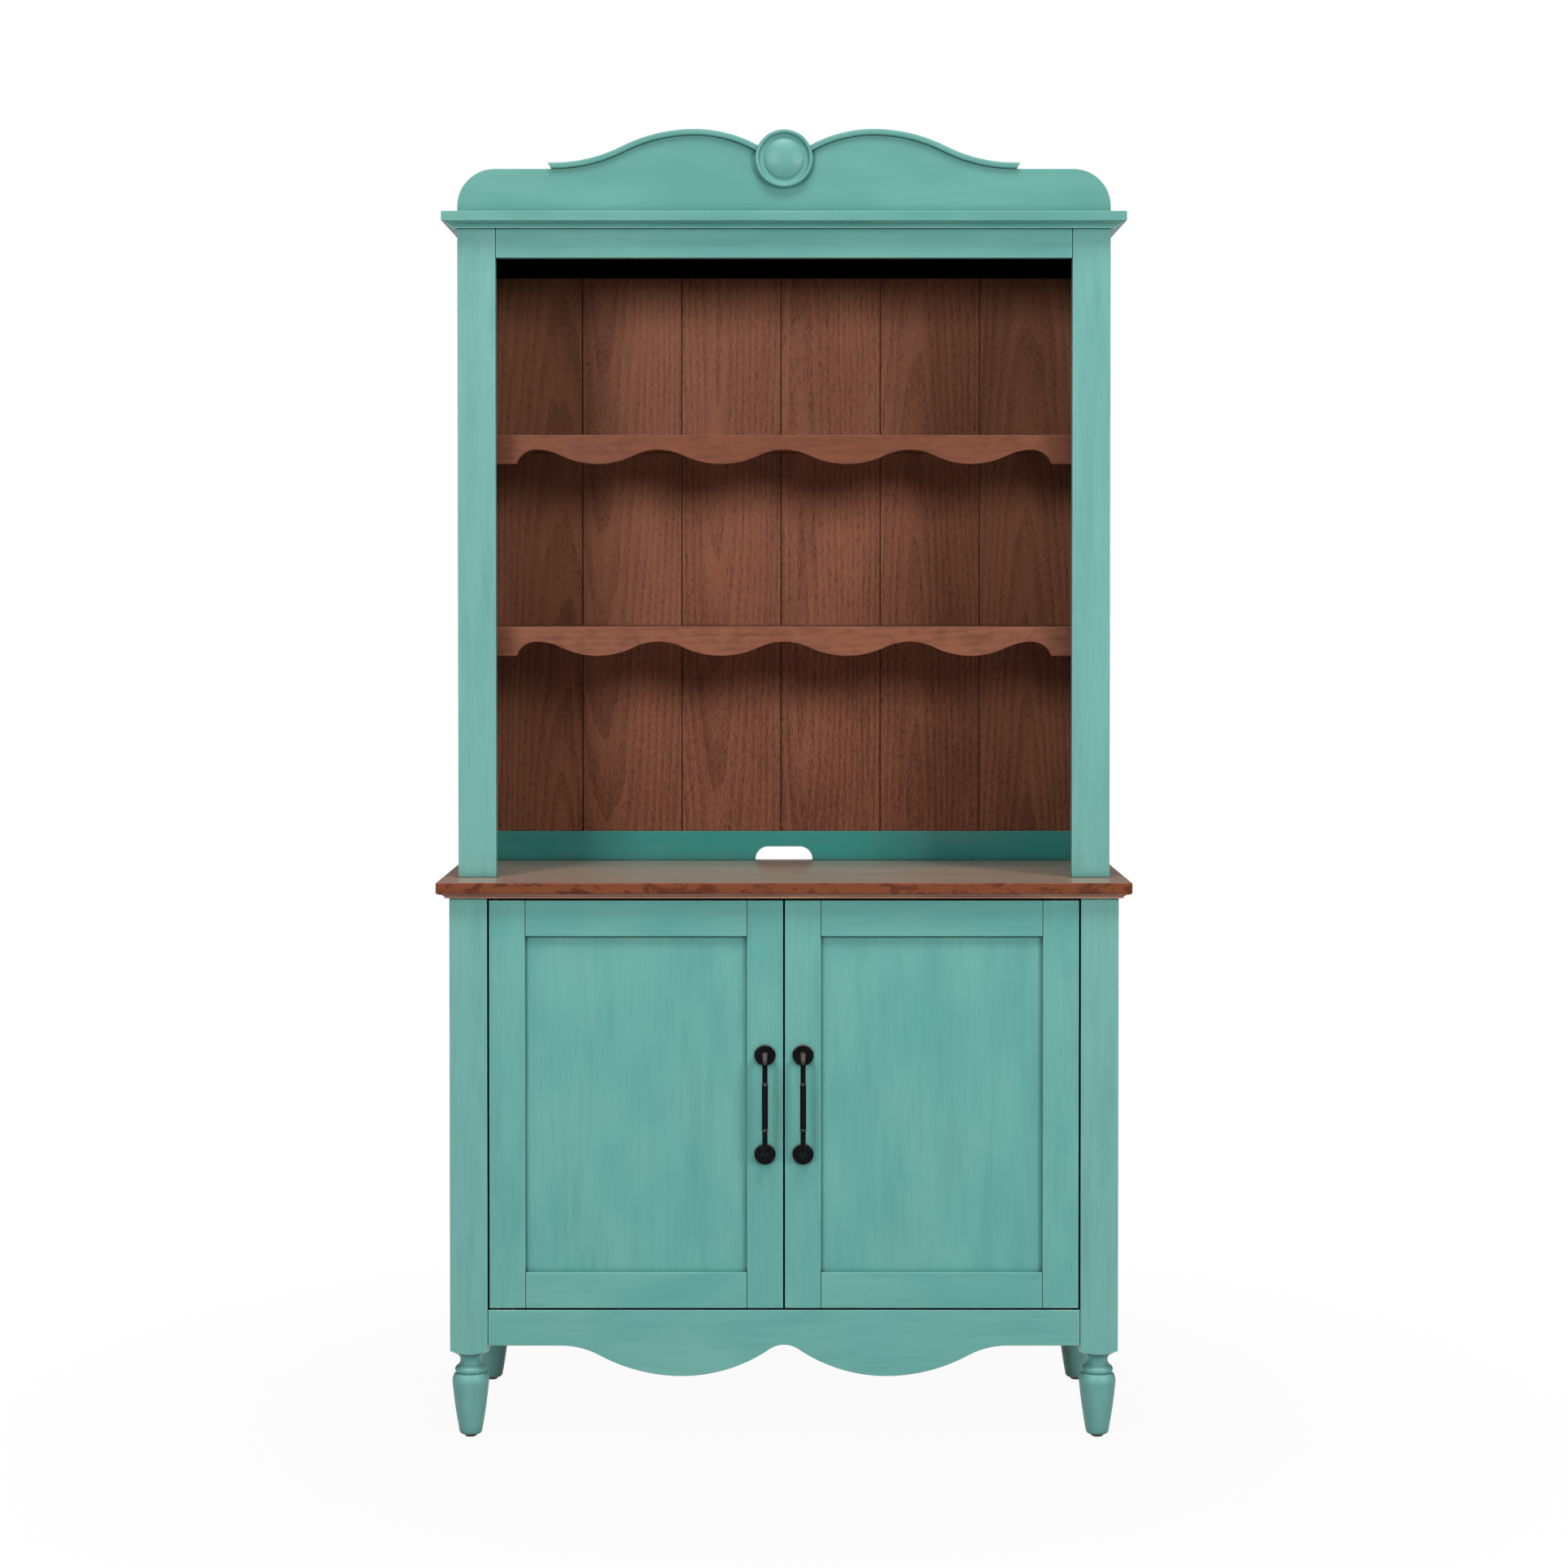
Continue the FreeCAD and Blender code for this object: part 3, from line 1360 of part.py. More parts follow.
def door_panel(side_name):
    """The flat panel of a door, loose in its grooves."""
    side = SIDES[side_name]
    reach = S.groove_depth - S.door_panel_play
    across = span(side, door_inner + S.door_frame - reach, door_outer - S.door_frame + reach)
    height = (door_bottom + S.door_frame - reach, door_top - S.door_frame + reach)
    return Piece(f"{side_name}_door_panel").box(across, panel_span, height)


def door_hinge_leaves(side_name):
    """The two bored leaves let into the ends of the hinge stile."""
    side = SIDES[side_name]
    leaves = []
    for end, level, inwards in (("bottom", door_bottom, 1), ("top", door_top, -1)):
        leaf = Piece(f"{side_name}_door_leaf_{end}")
        sunk = level + S.leaf_thickness * inwards
        height = (level, sunk) if inwards > 0 else (sunk, level)
        leaf.box(span(side, leaf_near, leaf_far), leaf_depth, height)
        start = (pivot_across * side, pivot_deep, height[0])
        leaf.bore("z", start, S.pivot_radius + S.pivot_clearance, S.leaf_thickness)
        for leaf_screw in LEAF_SCREWS[side_name, end]["door"]:
            leaf_screw.seat(leaf)
        leaves.append(leaf)
    return group(f"{side_name}_door_hinge_leaves", leaves)


def pull_bar(side_name):
    """The bent bar of a pull, with a thicker grip between two rings."""
    side = SIDES[side_name]
    across = S.pull_from_middle * side
    top = S.pull_height + S.pull_centres / 2
    low = S.pull_height - S.pull_centres / 2
    bend = S.pull_bend
    piece = Piece(f"{side_name}_door_pull_bar", (across, door_front, 0))
    path = piece.outline("yz", across, (door_front, top))
    path.line((grip_deep + bend, top))
    path.sweep((grip_deep, top - bend), grip_deep + bend)
    path.line((grip_deep, low + bend))
    path.sweep((grip_deep + bend, low), grip_deep + bend)
    path.line((door_front, low))
    spine = path.draw(closed=False)
    section = piece.outline("xz", door_front, (across, top)).sketch
    circle = section.addGeometry(Part.Circle(
        FreeCAD.Vector(0, top.number, 0), FreeCAD.Vector(0, 0, 1), S.pull_bar_radius.number), False)
    section.addConstraint(Sketcher.Constraint("PointOnObject", circle, 3, -2))
    section.addConstraint(Sketcher.Constraint("DistanceY", -1, 1, circle, 3, top.number))
    section.addConstraint(Sketcher.Constraint("Radius", circle, S.pull_bar_radius.number))
    section.renameConstraint(1, "rise")
    section.renameConstraint(2, "section_radius")
    section.setExpression("Constraints.rise", top.formula)
    section.setExpression("Constraints.section_radius", S.pull_bar_radius.formula)
    doc.recompute()
    bar = piece.feature("AdditivePipe")
    bar.Profile = section
    bar.Spine = spine
    grip_low = S.pull_height - S.pull_ring_offset
    piece.rod("z", (across, grip_deep, grip_low), S.pull_grip_radius, S.pull_ring_offset * 2)
    for offset in (-S.pull_ring_offset, S.pull_ring_offset):
        start = S.pull_height + offset - S.pull_ring_height / 2
        piece.rod("z", (across, grip_deep, start), S.pull_ring_radius, S.pull_ring_height)
    for pull_screw in PULL_SCREWS[side_name]:
        pull_screw.bore(piece)
    return piece


def pull_rosettes(side_name):
    """The two round rosettes behind a pull's ends."""
    side = SIDES[side_name]
    rosettes = []
    for number, share in enumerate((-0.5, 0.5)):
        middle = S.pull_height + S.pull_centres * share
        piece = Piece(f"{side_name}_pull_rosette_{number}", (S.pull_from_middle * side, door_front, middle))
        bore = S.pull_bar_radius + S.fit
        rim = (S.pull_rosette_radius, S.pull_rosette_rim - S.pull_rosette_thickness)
        face = (S.pull_rosette_radius - S.pull_rosette_rim, -S.pull_rosette_thickness)
        middle_rim = between(rim, face, 0.5)
        swell = S.pull_rosette_rim * (math.sqrt(0.5) - 0.5)
        profile = [
            ((bore, 0), None),
            ((S.pull_rosette_radius, 0), None),
            (rim, None),
            (face, (middle_rim[0] + swell, middle_rim[1] - swell)),
            ((bore, -S.pull_rosette_thickness), None),
        ]
        rosettes.append(piece.turn("xy", middle, profile))
    return group(f"{side_name}_door_pull_rosettes", rosettes)


def strike_place(side_name):
    """Where the head of a door's strike screw meets the back of the door."""
    middle = (catch_near + catch_far) / 2
    return (middle * SIDES[side_name], door_back, (catch_height[0] + catch_height[1]) / 2)


def door_screws(side_name):
    """Every screw of one door: the pull's, the hinge leaves' and the strike for the catch."""
    screws = [one.solid() for one in PULL_SCREWS[side_name]]
    for end in ("bottom", "top"):
        screws += [one.solid() for one in LEAF_SCREWS[side_name, end]["door"]]
    middle = strike_place(side_name)
    strike = Piece(f"{side_name}_strike_screw")
    strike.rod("y", middle, S.strike_radius, S.strike_thickness)
    start = (middle[0], middle[1] - S.strike_screw_grip + S.fit, middle[2])
    strike.rod("y", start, S.screw_radius, S.strike_screw_grip)
    return group(f"{side_name}_door_screws", screws + [strike])


def door(side_name):
    """Every piece of one door."""
    return [
        door_stile(side_name, "hinge"),
        door_stile(side_name, "lock"),
        door_rail(side_name, "top"),
        door_rail(side_name, "bottom"),
        door_panel(side_name),
        door_hinge_leaves(side_name),
        pull_bar(side_name),
        pull_rosettes(side_name),
        door_screws(side_name),
    ]


# The whole cupboard

def all_pieces():
    """Every sub-part, in the order it would be put together."""
    pieces = [leg(row, side_name) for row in ROWS for side_name in SIDES]
    pieces += [foot_glides(), base_back_panel(), base_floor(), front_apron(), door_head_rail()]
    pieces += [base_side(side_name) for side_name in SIDES]
    pieces += [counter_top(), counter_mouldings(), inner_shelf(), shelf_pins(), magnetic_catches()]
    pieces += [hinge_frame_leaves(), mending_plates(), cabinet_screws()]
    for side_name in SIDES:
        pieces += [hutch_side(side_name), hutch_stile(side_name)]
    pieces += [hutch_head_rail(), hutch_top_panel(), hutch_back_rail()]
    pieces += [back_board(number) for number in range(BOARD_COUNT)]
    for name in shelf_tops:
        pieces += [hutch_shelf(name), shelf_valance(name)]
    pieces += [cornice_cap(), cornice_mouldings(), crest_board(), crest_beads(), crest_rosette()]
    for side_name in SIDES:
        pieces += door(side_name)
    return [piece.body if isinstance(piece, Piece) else piece for piece in pieces]


def check(pieces):
    """Stop if any feature failed or any sub-part is not a sound shape."""
    for item in doc.Objects:
        if "Invalid" in item.State or "Error" in item.State:
            raise RuntimeError(f"{item.Label} did not compute")
    for item in pieces:
        if item.Shape.isNull() or not item.Shape.isValid() or not item.Shape.Solids:
            raise RuntimeError(f"{item.Label} has no sound shape")


nodes = all_pieces()
doc.recompute()
check(nodes)
os.makedirs("parts", exist_ok=True)
for node in nodes:
    node.Shape.exportStep(f"parts/{node.Label}.step")
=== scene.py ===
import math

import bpy
from bpy.props import FloatProperty, FloatVectorProperty, PointerProperty
from mathutils import Euler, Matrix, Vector


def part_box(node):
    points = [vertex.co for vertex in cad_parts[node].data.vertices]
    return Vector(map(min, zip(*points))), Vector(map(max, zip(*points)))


bl_info = {
    "name": "Painted hutch",
    "version": (1, 0, 0),
    "blender": (4, 5, 0),
    "location": "View3D > Sidebar > Hutch",
    "description": "Finishes for a painted hutch with stained shelves, and a studio to see it in",
    "category": "Material",
}

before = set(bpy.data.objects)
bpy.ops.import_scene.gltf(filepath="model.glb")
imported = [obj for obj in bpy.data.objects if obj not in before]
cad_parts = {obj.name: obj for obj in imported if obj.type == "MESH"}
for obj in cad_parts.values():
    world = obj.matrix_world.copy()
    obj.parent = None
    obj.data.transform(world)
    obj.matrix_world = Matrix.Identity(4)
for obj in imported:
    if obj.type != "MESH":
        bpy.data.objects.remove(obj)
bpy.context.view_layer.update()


def from_screen(red, green, blue):
    """An sRGB colour as a screen shows it, from 0 to 255, made linear for a shader."""
    linear = []
    for value in (red, green, blue):
        share = value / 255
        linear.append(share / 12.92 if share <= 0.04045 else ((share + 0.055) / 1.055) ** 2.4)
    return tuple(linear)


def colour_property(name, description, red, green, blue):
    """A colour that a user may change, given as a screen shows it."""
    return FloatVectorProperty(
        name=name, description=description, default=from_screen(red, green, blue),
        subtype="COLOR", size=3, min=0.0, max=1.0)


def length_property(name, description, default):
    """A length in metres that a user may change."""
    return FloatProperty(name=name, description=description, default=default, unit="LENGTH", precision=4)


def share_property(name, description, default):
    """A share from nothing to all of something."""
    return FloatProperty(
        name=name, description=description, default=default, subtype="FACTOR", min=0.0, max=1.0)


def angle_property(name, description, degrees):
    """An angle that a user may change, given in degrees."""
    return FloatProperty(name=name, description=description, default=math.radians(degrees), subtype="ANGLE")


def power_property(name, description, default):
    """A lamp's power in watts."""
    return FloatProperty(name=name, description=description, default=default, unit="POWER")


# Which pieces have which finish, and which way their grain runs

SIDES = ("left", "right")
UPRIGHT_PAINT = (
    [f"leg_{row}_{side}" for row in ("front", "back") for side in SIDES]
    + [f"base_side_{side}" for side in SIDES]
    + [f"hutch_side_{side}" for side in SIDES]
    + [f"hutch_stile_{side}" for side in SIDES]
    + [f"{side}_door_{place}_stile" for side in SIDES for place in ("hinge", "lock")]
    + [f"{side}_door_panel" for side in SIDES]
)
LEVEL_PAINT = (
    ["front_apron", "door_head_rail", "hutch_head_rail", "hutch_back_rail", "cornice_cap"]
    + ["cornice_mouldings", "crest_board", "crest_beads", "crest_rosette"]
    + [f"{side}_door_{end}_rail" for side in SIDES for end in ("top", "bottom")]
)
BACK_BOARDS = [f"back_board_{number}" for number in range(1, 7)]
COUNTER = ["counter_top", "counter_mouldings"]
SHELVES = [f"{height}_shelf{part}" for height in ("lower", "upper") for part in ("", "_valance")]
INSIDE = ["base_floor", "base_back_panel", "inner_shelf"]
TOP_PANEL = ["hutch_top_panel"]
PULLS = [f"{side}_door_{part}" for side in SIDES for part in ("pull_bar", "pull_rosettes")]
STEEL = (
    ["shelf_pins", "hinge_frame_leaves", "mending_plates", "cabinet_screws"]
    + [f"{side}_door_{part}" for side in SIDES for part in ("hinge_leaves", "screws")]
)
GLIDES = ["foot_glides"]
CATCHES = ["magnetic_catches"]


# Settings

class PaintSettings(bpy.types.PropertyGroup):
    """The brushed paint and the glaze over it."""
    paint: colour_property("Paint", "Paint between the brush marks", 102, 174, 166)
    pale: colour_property("Pale paint", "Paint where the glaze is wiped thin", 114, 181, 171)
    glaze: colour_property("Glaze", "Glaze left in the brush marks", 84, 153, 145)
    # Wiped paint is painted light: lighter paint that stands in for more light on the legs, stiles, apron
    # and hutch head rail.
    wiped: colour_property("Wiped paint", "Paint of the posts, wiped thinner", 130, 184, 176)
    # Deep paint is painted shade: darker paint on the back rail, on the door head rail under the counter
    # and on the cornice mouldings, where shade falls.
    deep: colour_property("Deep paint", "Paint at the back, under more glaze", 46, 156, 144)
    # Painted shade: darker paint on the crest and cornice cap, evening out the stronger light at the top of
    # the hutch.
    crest_and_cap_shade: colour_property("Weathered paint", "Paint of the crest, yellowed with age", 96, 150, 138)
    # Corner glaze is partly glaze and partly painted shade, darkening the paint near inner corners and
    # recesses.
    corner: colour_property("Corner glaze", "Glaze left thick in an inner corner", 56, 122, 115)
    # Joint glaze is dark glaze in the joints, and painted shade deep in gaps and crevices.
    joint: colour_property("Joint glaze", "Glaze settled deep in a joint", 4, 18, 17)
    # Worn edge is partly worn paint and partly painted highlight along the open edges.
    worn_and_highlight: colour_property("Worn edge", "Paint rubbed thin along an edge", 168, 214, 204)
    brush_width: length_property("Brush mark width", "Width of a brush mark across the grain", 0.0042)
    brush_length: length_property("Brush mark length", "Length of a brush mark along the grain", 0.22)
    # How far the darkening of the corners and joints, glaze and painted shade, reaches out of a corner.
    glaze_and_shade_reach: length_property("Glaze reach", "How far glaze settles out of a corner", 0.022)
    # How far the worn paint and painted highlight reach from an edge.
    wear_and_highlight_reach: length_property("Wear reach", "How far an edge is rubbed", 0.0019)
    brush_depth: length_property("Brush mark depth", "How deep a brush mark is", 0.00008)
    roughness: share_property("Roughness", "Roughness of the paint", 0.42)
    roughness_spread: share_property("Roughness spread", "How far brush marks change the roughness", 0.05)
    shine: share_property("Shine", "Strength of the paint's reflections", 0.4)


class StainSettings(bpy.types.PropertyGroup):
    """The stained and varnished wood."""
    board: colour_property("Back boards", "Stain of the back boards", 168, 105, 77)
    board_dark: colour_property("Board grain", "Dark grain of the back boards", 92, 47, 29)
    counter: colour_property("Counter", "Stain of the counter", 130, 71, 46)
    # Counter top is painted sheen: a lighter colour where the counter faces up.
    counter_top: colour_property("Counter top", "Stain of the counter where it faces up", 164, 104, 79)
    haze: colour_property("Counter haze", "Haze of the varnish, seen along the top", 232, 218, 204)
    counter_dark: colour_property("Counter grain", "Dark grain of the counter", 92, 46, 30)
    # The counter moulding's light colour is painted light, brightening a moulding that sits in shade under
    # the counter.
    moulding: colour_property("Counter moulding", "Stain of the counter's moulding", 212, 158, 134)
    shelf: colour_property("Shelves", "Stain of the shelves", 142, 89, 67)
    # The upper shelf and its valance take a darker colour than the lower shelf.
    upper_shelf: colour_property("Upper shelf", "Stain of the upper shelf", 130, 79, 58)
    shelf_dark: colour_property("Shelf grain", "Dark grain of the shelves", 94, 53, 38)
    inside: colour_property("Inside", "Stain inside the cupboard", 118, 76, 56)
    inside_dark: colour_property("Inside grain", "Dark grain inside the cupboard", 84, 52, 38)
    # The panel under the top is made near black: painted shade, where the underside lies in shade.
    top: colour_property("Top panel", "Dark stain under the top", 4, 6, 6)
    top_shade_grain: colour_property("Top panel grain", "Dark grain under the top", 2, 3, 3)
    ring_width: length_property("Ring width", "Width of a year's growth across the grain", 0.0095)
    pore_length: length_property("Pore length", "Length of an open pore along the grain", 0.009)
    pore_width: length_property("Pore width", "Width of an open pore across the grain", 0.001)
    pore_depth: length_property("Pore depth", "Depth of an open pore", 0.0001)
    seam_reach: length_property("Seam reach", "How far a seam darkens a board's edge", 0.0015)
    # How far the painted shade reaches out of an inner corner.
    corner_shade_reach: length_property("Corner reach", "How far stain settles out of an inner corner", 0.008)
    foot_low: length_property("Foot low", "Height at which the back boards are darkest", 0.95)
    foot_high: length_property("Foot high", "Height from which the back boards are no darker", 1.4)
    varnish_roughness: share_property("Varnish roughness", "Roughness of the counter's varnish", 0.12)
    haze_share: share_property("Haze", "Strength of the varnish's haze", 0.26)
    haze_roughness: share_property("Haze roughness", "How widely the haze spreads", 0.4)


class HardwareSettings(bpy.types.PropertyGroup):
    """The metal and plastic fittings."""
    black: colour_property("Pulls", "Blackened metal of the pulls", 4, 3, 4)
    rubbed: colour_property("Rubbed pulls", "Bronze where a pull is rubbed", 30, 20, 20)
    # Lighter metal on a pull's edges and upper bends, partly wear and partly painted highlight.
    bright: colour_property("Bright pulls", "Bare metal along the edges of a pull", 196, 184, 178)
    wear_and_highlight_reach: length_property("Wear reach", "How far an edge of a pull is rubbed", 0.0009)
    grit_depth: length_property("Grit depth", "Depth of the pulls' fine grit", 0.00004)
    black_shine: share_property("Black shine", "Strength of the pulls' reflections", 0.1)
    steel: colour_property("Steel", "Zinc-plated fittings", 176, 176, 172)
    glide: colour_property("Glides", "Plastic of the foot glides", 16, 16, 16)
    catch: colour_property("Catches", "Plastic of the magnetic catches", 92, 66, 50)
    plastic_depth: length_property("Plastic grain depth", "Depth of the plastic's moulded grain", 0.00006)


class StudioSettings(bpy.types.PropertyGroup):
    """The camera, the lamps and the floor."""
    camera_away: length_property("Camera distance", "Camera from the middle of the hutch", 5.357)
    camera_up: length_property("Camera height", "Camera above the floor", 1.369)
    camera_tilt: angle_property("Camera tilt", "How far the camera looks down", 1.155)
    camera_shift: FloatProperty(
        name="Camera shift", description="Lens shift, as a share of the picture", default=-0.08)
    lens: FloatProperty(name="Lens", description="Focal length in millimetres", default=73.5, unit="CAMERA")
    lamp_away: length_property("Lamp distance", "Side lamps from the middle of the hutch", 5.0)
    left_turn: angle_property("Left lamp turn", "Left lamp round from the camera", 31.0)
    right_turn: angle_property("Right lamp turn", "Right lamp round from the camera", 42.0)
    lamp_up: length_property("Lamp height", "Middle of a side lamp above the floor", 2.51)
    lamp_width: length_property("Lamp width", "Width of a side lamp", 1.29)
    lamp_height: length_property("Lamp depth", "Height of a side lamp from its bottom to its top", 1.0)
    lamp_power: power_property("Lamp power", "Power of a side lamp straight in front of the hutch", 76.5)
    aim_up: length_property("Aim height", "Height of the point that every lamp faces", 1.15)
    top_away: length_property("Top panel distance", "Top panel out in front of the hutch", 4.0)
    top_up: length_property("Top panel height", "Top panel above the floor", 10.0)
    top_width: length_property("Top panel width", "Width of the top panel", 6.2)
    top_depth: length_property("Top panel depth", "Depth of the top panel", 3.1)
    top_power: power_property("Top power", "Power of the panel above the front", 680.0)
    back_away: length_property("Back panel distance", "Back panel out behind the hutch", 3.2)
    back_up: length_property("Back panel height", "Back panel above the floor", 3.0)
    back_width: length_property("Back panel width", "Width of the back panel", 2.4)
    back_depth: length_property("Back panel depth", "Depth of the back panel", 1.2)
    back_power: power_property("Back power", "Power of the panel behind the hutch", 40.0)
    sky: share_property("Room light", "Light from the room all round", 0.025)
    floor_size: length_property("Floor size", "Width of the floor", 60.0)
    floor_grey: share_property("Floor grey", "How much light the floor throws back", 0.28)
    floor_roughness: share_property("Floor roughness", "Roughness of the floor", 0.9)
    floor_white: share_property("Floor white", "How white the floor is seen beside the hutch", 0.95)
    shadow_near: length_property("Shadow near", "Distance at which the floor starts to turn white", 0.5)
    shadow_far: length_property("Shadow far", "Distance from which the floor is white", 1.6)


class HutchSettings(bpy.types.PropertyGroup):
    """Everything that can be changed about the hutch."""
    paint: PointerProperty(type=PaintSettings)
    stain: PointerProperty(type=StainSettings)
    hardware: PointerProperty(type=HardwareSettings)
    studio: PointerProperty(type=StudioSettings)


# Shader building

CORNER_SAMPLES = 8
EDGE_SAMPLES = 6


class Shader:
    """A material's nodes, with short ways to add the ones that the finishes need."""

    def __init__(self, name):
        self.material = bpy.data.materials.new(name)
        self.material.use_nodes = True
        self.tree = self.material.node_tree
        self.tree.nodes.clear()
        self.surface = self.node("ShaderNodeBsdfPrincipled")
        output = self.node("ShaderNodeOutputMaterial")
        self.tree.links.new(self.surface.outputs["BSDF"], output.inputs["Surface"])
        self.place = self.node("ShaderNodeTexCoord").outputs["Object"]

    def node(self, kind, **inputs):
        """A node with its inputs set, or linked where an input is another node's output."""
        made = self.tree.nodes.new(kind)
        for name, value in inputs.items():
            self.put(made.inputs[name.replace("_", " ")], value)
        return made

    def put(self, socket, value):
        """Set a socket, or link it."""
        if isinstance(value, bpy.types.NodeSocket):
            self.tree.links.new(value, socket)
        elif socket.type == "RGBA" and len(value) == 3:
            socket.default_value = (*value, 1.0)
        else:
            socket.default_value = value

    def math(self, operation, first, second=0.0, clamp=False):
        """One sum on numbers."""
        made = self.tree.nodes.new("ShaderNodeMath")
        made.operation = operation
        made.use_clamp = clamp
        self.put(made.inputs[0], first)
        self.put(made.inputs[1], second)
        return made.outputs[0]

    def stretched(self, scale, shift=(0.0, 0.0, 0.0)):
        """Places on the piece, stretched and then shifted."""
        return self.node("ShaderNodeMapping", Vector=self.place, Location=shift, Scale=scale).outputs[0]

    def noise(self, vector, detail=3.0, roughness=0.55, distortion=0.0):
        """Smooth noise over places that are already scaled."""
        made = self.node(
            "ShaderNodeTexNoise", Vector=vector, Scale=1.0, Detail=detail, Roughness=roughness,
            Distortion=distortion)
        return made.outputs["Fac"]

    def ranged(self, value, low, high, start=0.0, end=1.0):
        """A value taken from one range to another, and kept within it."""
        made = self.node("ShaderNodeMapRange", Value=value)
        made.interpolation_type = "SMOOTHSTEP"
        for name, number in (("From Min", low), ("From Max", high), ("To Min", start), ("To Max", end)):
            self.put(made.inputs[name], number)
        return made.outputs[0]

    def mixed(self, share, first, second):
        """One colour turning into another."""
        made = self.tree.nodes.new("ShaderNodeMix")
        made.data_type = "RGBA"
        self.put(made.inputs["Factor"], share)
        colours = [socket for socket in made.inputs if socket.type == "RGBA"]
        self.put(colours[0], first)
        self.put(colours[1], second)
        return [socket for socket in made.outputs if socket.type == "RGBA"][0]

    def corners(self, reach):
        """How open the surface is: 1 out in the open, less in a joint or an inner corner."""
        made = self.tree.nodes.new("ShaderNodeAmbientOcclusion")
        made.samples = CORNER_SAMPLES
        self.put(made.inputs["Distance"], reach)
        return made.outputs["AO"]

    def edges(self, reach):
        """How near an edge is: 0 on the flat, more within reach of an edge."""
        rounded = self.tree.nodes.new("ShaderNodeBevel")
        rounded.samples = EDGE_SAMPLES
        self.put(rounded.inputs["Radius"], reach)
        across = self.tree.nodes.new("ShaderNodeVectorMath")
        across.operation = "DOT_PRODUCT"
        self.put(across.inputs[0], rounded.outputs[0])
        self.put(across.inputs[1], self.node("ShaderNodeNewGeometry").outputs["Normal"])
        return self.math("SUBTRACT", 1.0, across.outputs["Value"], clamp=True)

    def upward(self):
        """How far the surface faces up."""
        facing = self.node("ShaderNodeTexCoord").outputs["Normal"]
        return self.node("ShaderNodeSeparateXYZ", Vector=facing).outputs["Z"]

    def relief(self, height, depth):
        """Raise and sink the surface a little."""
        bump = self.node("ShaderNodeBump", Height=height, Strength=1.0, Distance=depth)
        self.put(self.surface.inputs["Normal"], bump.outputs[0])


def along(grain, across_scale, along_scale):
    """A scale for each axis, one across the grain and one along it."""
    return tuple(along_scale if axis == grain else across_scale for axis in "xyz")


def seed_of(name):
    """A place of its own in the noise for each piece, the same on every run."""
    total = sum(ord(letter) * (place + 3) for place, letter in enumerate(name))
    return ((total % 17) * 0.73, (total % 13) * 1.19, (total % 11) * 0.91)


def finish_node(name, material):
    """Give a piece its material."""
    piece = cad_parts.get(name)
    if piece is None:
        raise RuntimeError(f"there is no piece called {name}")
    for slot in piece.material_slots:
        slot.material = material


# Paint

# Patches of thin glaze to a metre, across the grain and along it
PAINT_PATCHES = (10.0, 5.0)
# Wide brush marks to each fine one across the grain, and fine ones to each wide one along it
WIDE_MARKS = 0.16
FINE_MARKS = 2.5


def paint_lean(name, settings):
    """The colour that a piece's paint leans to, and how far: lighter paint as painted light, darker paint
    as painted shade.
    """
    leanings = (
        # Painted light: the legs and hutch stiles lean to the lighter wiped paint.
        (("leg", "hutch_stile"), settings.wiped, 0.5),
        # Painted shade: the back rail, the door head rail under the counter and the cornice mouldings lean
        # to the darker deep paint.
        (("hutch_back_rail", "door_head_rail"), settings.deep, 0.9),
        (("cornice_mouldings",), settings.deep, 0.35),
        # Painted shade: the crest and cornice cap lean to darker paint.
        (("crest", "cornice_cap"), settings.crest_and_cap_shade, 0.5),
        # Painted light: the apron and hutch head rail lean to the lighter wiped paint.
        (("front_apron", "hutch_head_rail"), settings.wiped, 0.25),
    )
    for starts, colour, share in leanings:
        if name.startswith(starts):
            return colour, share
    return settings.paint, 0.0


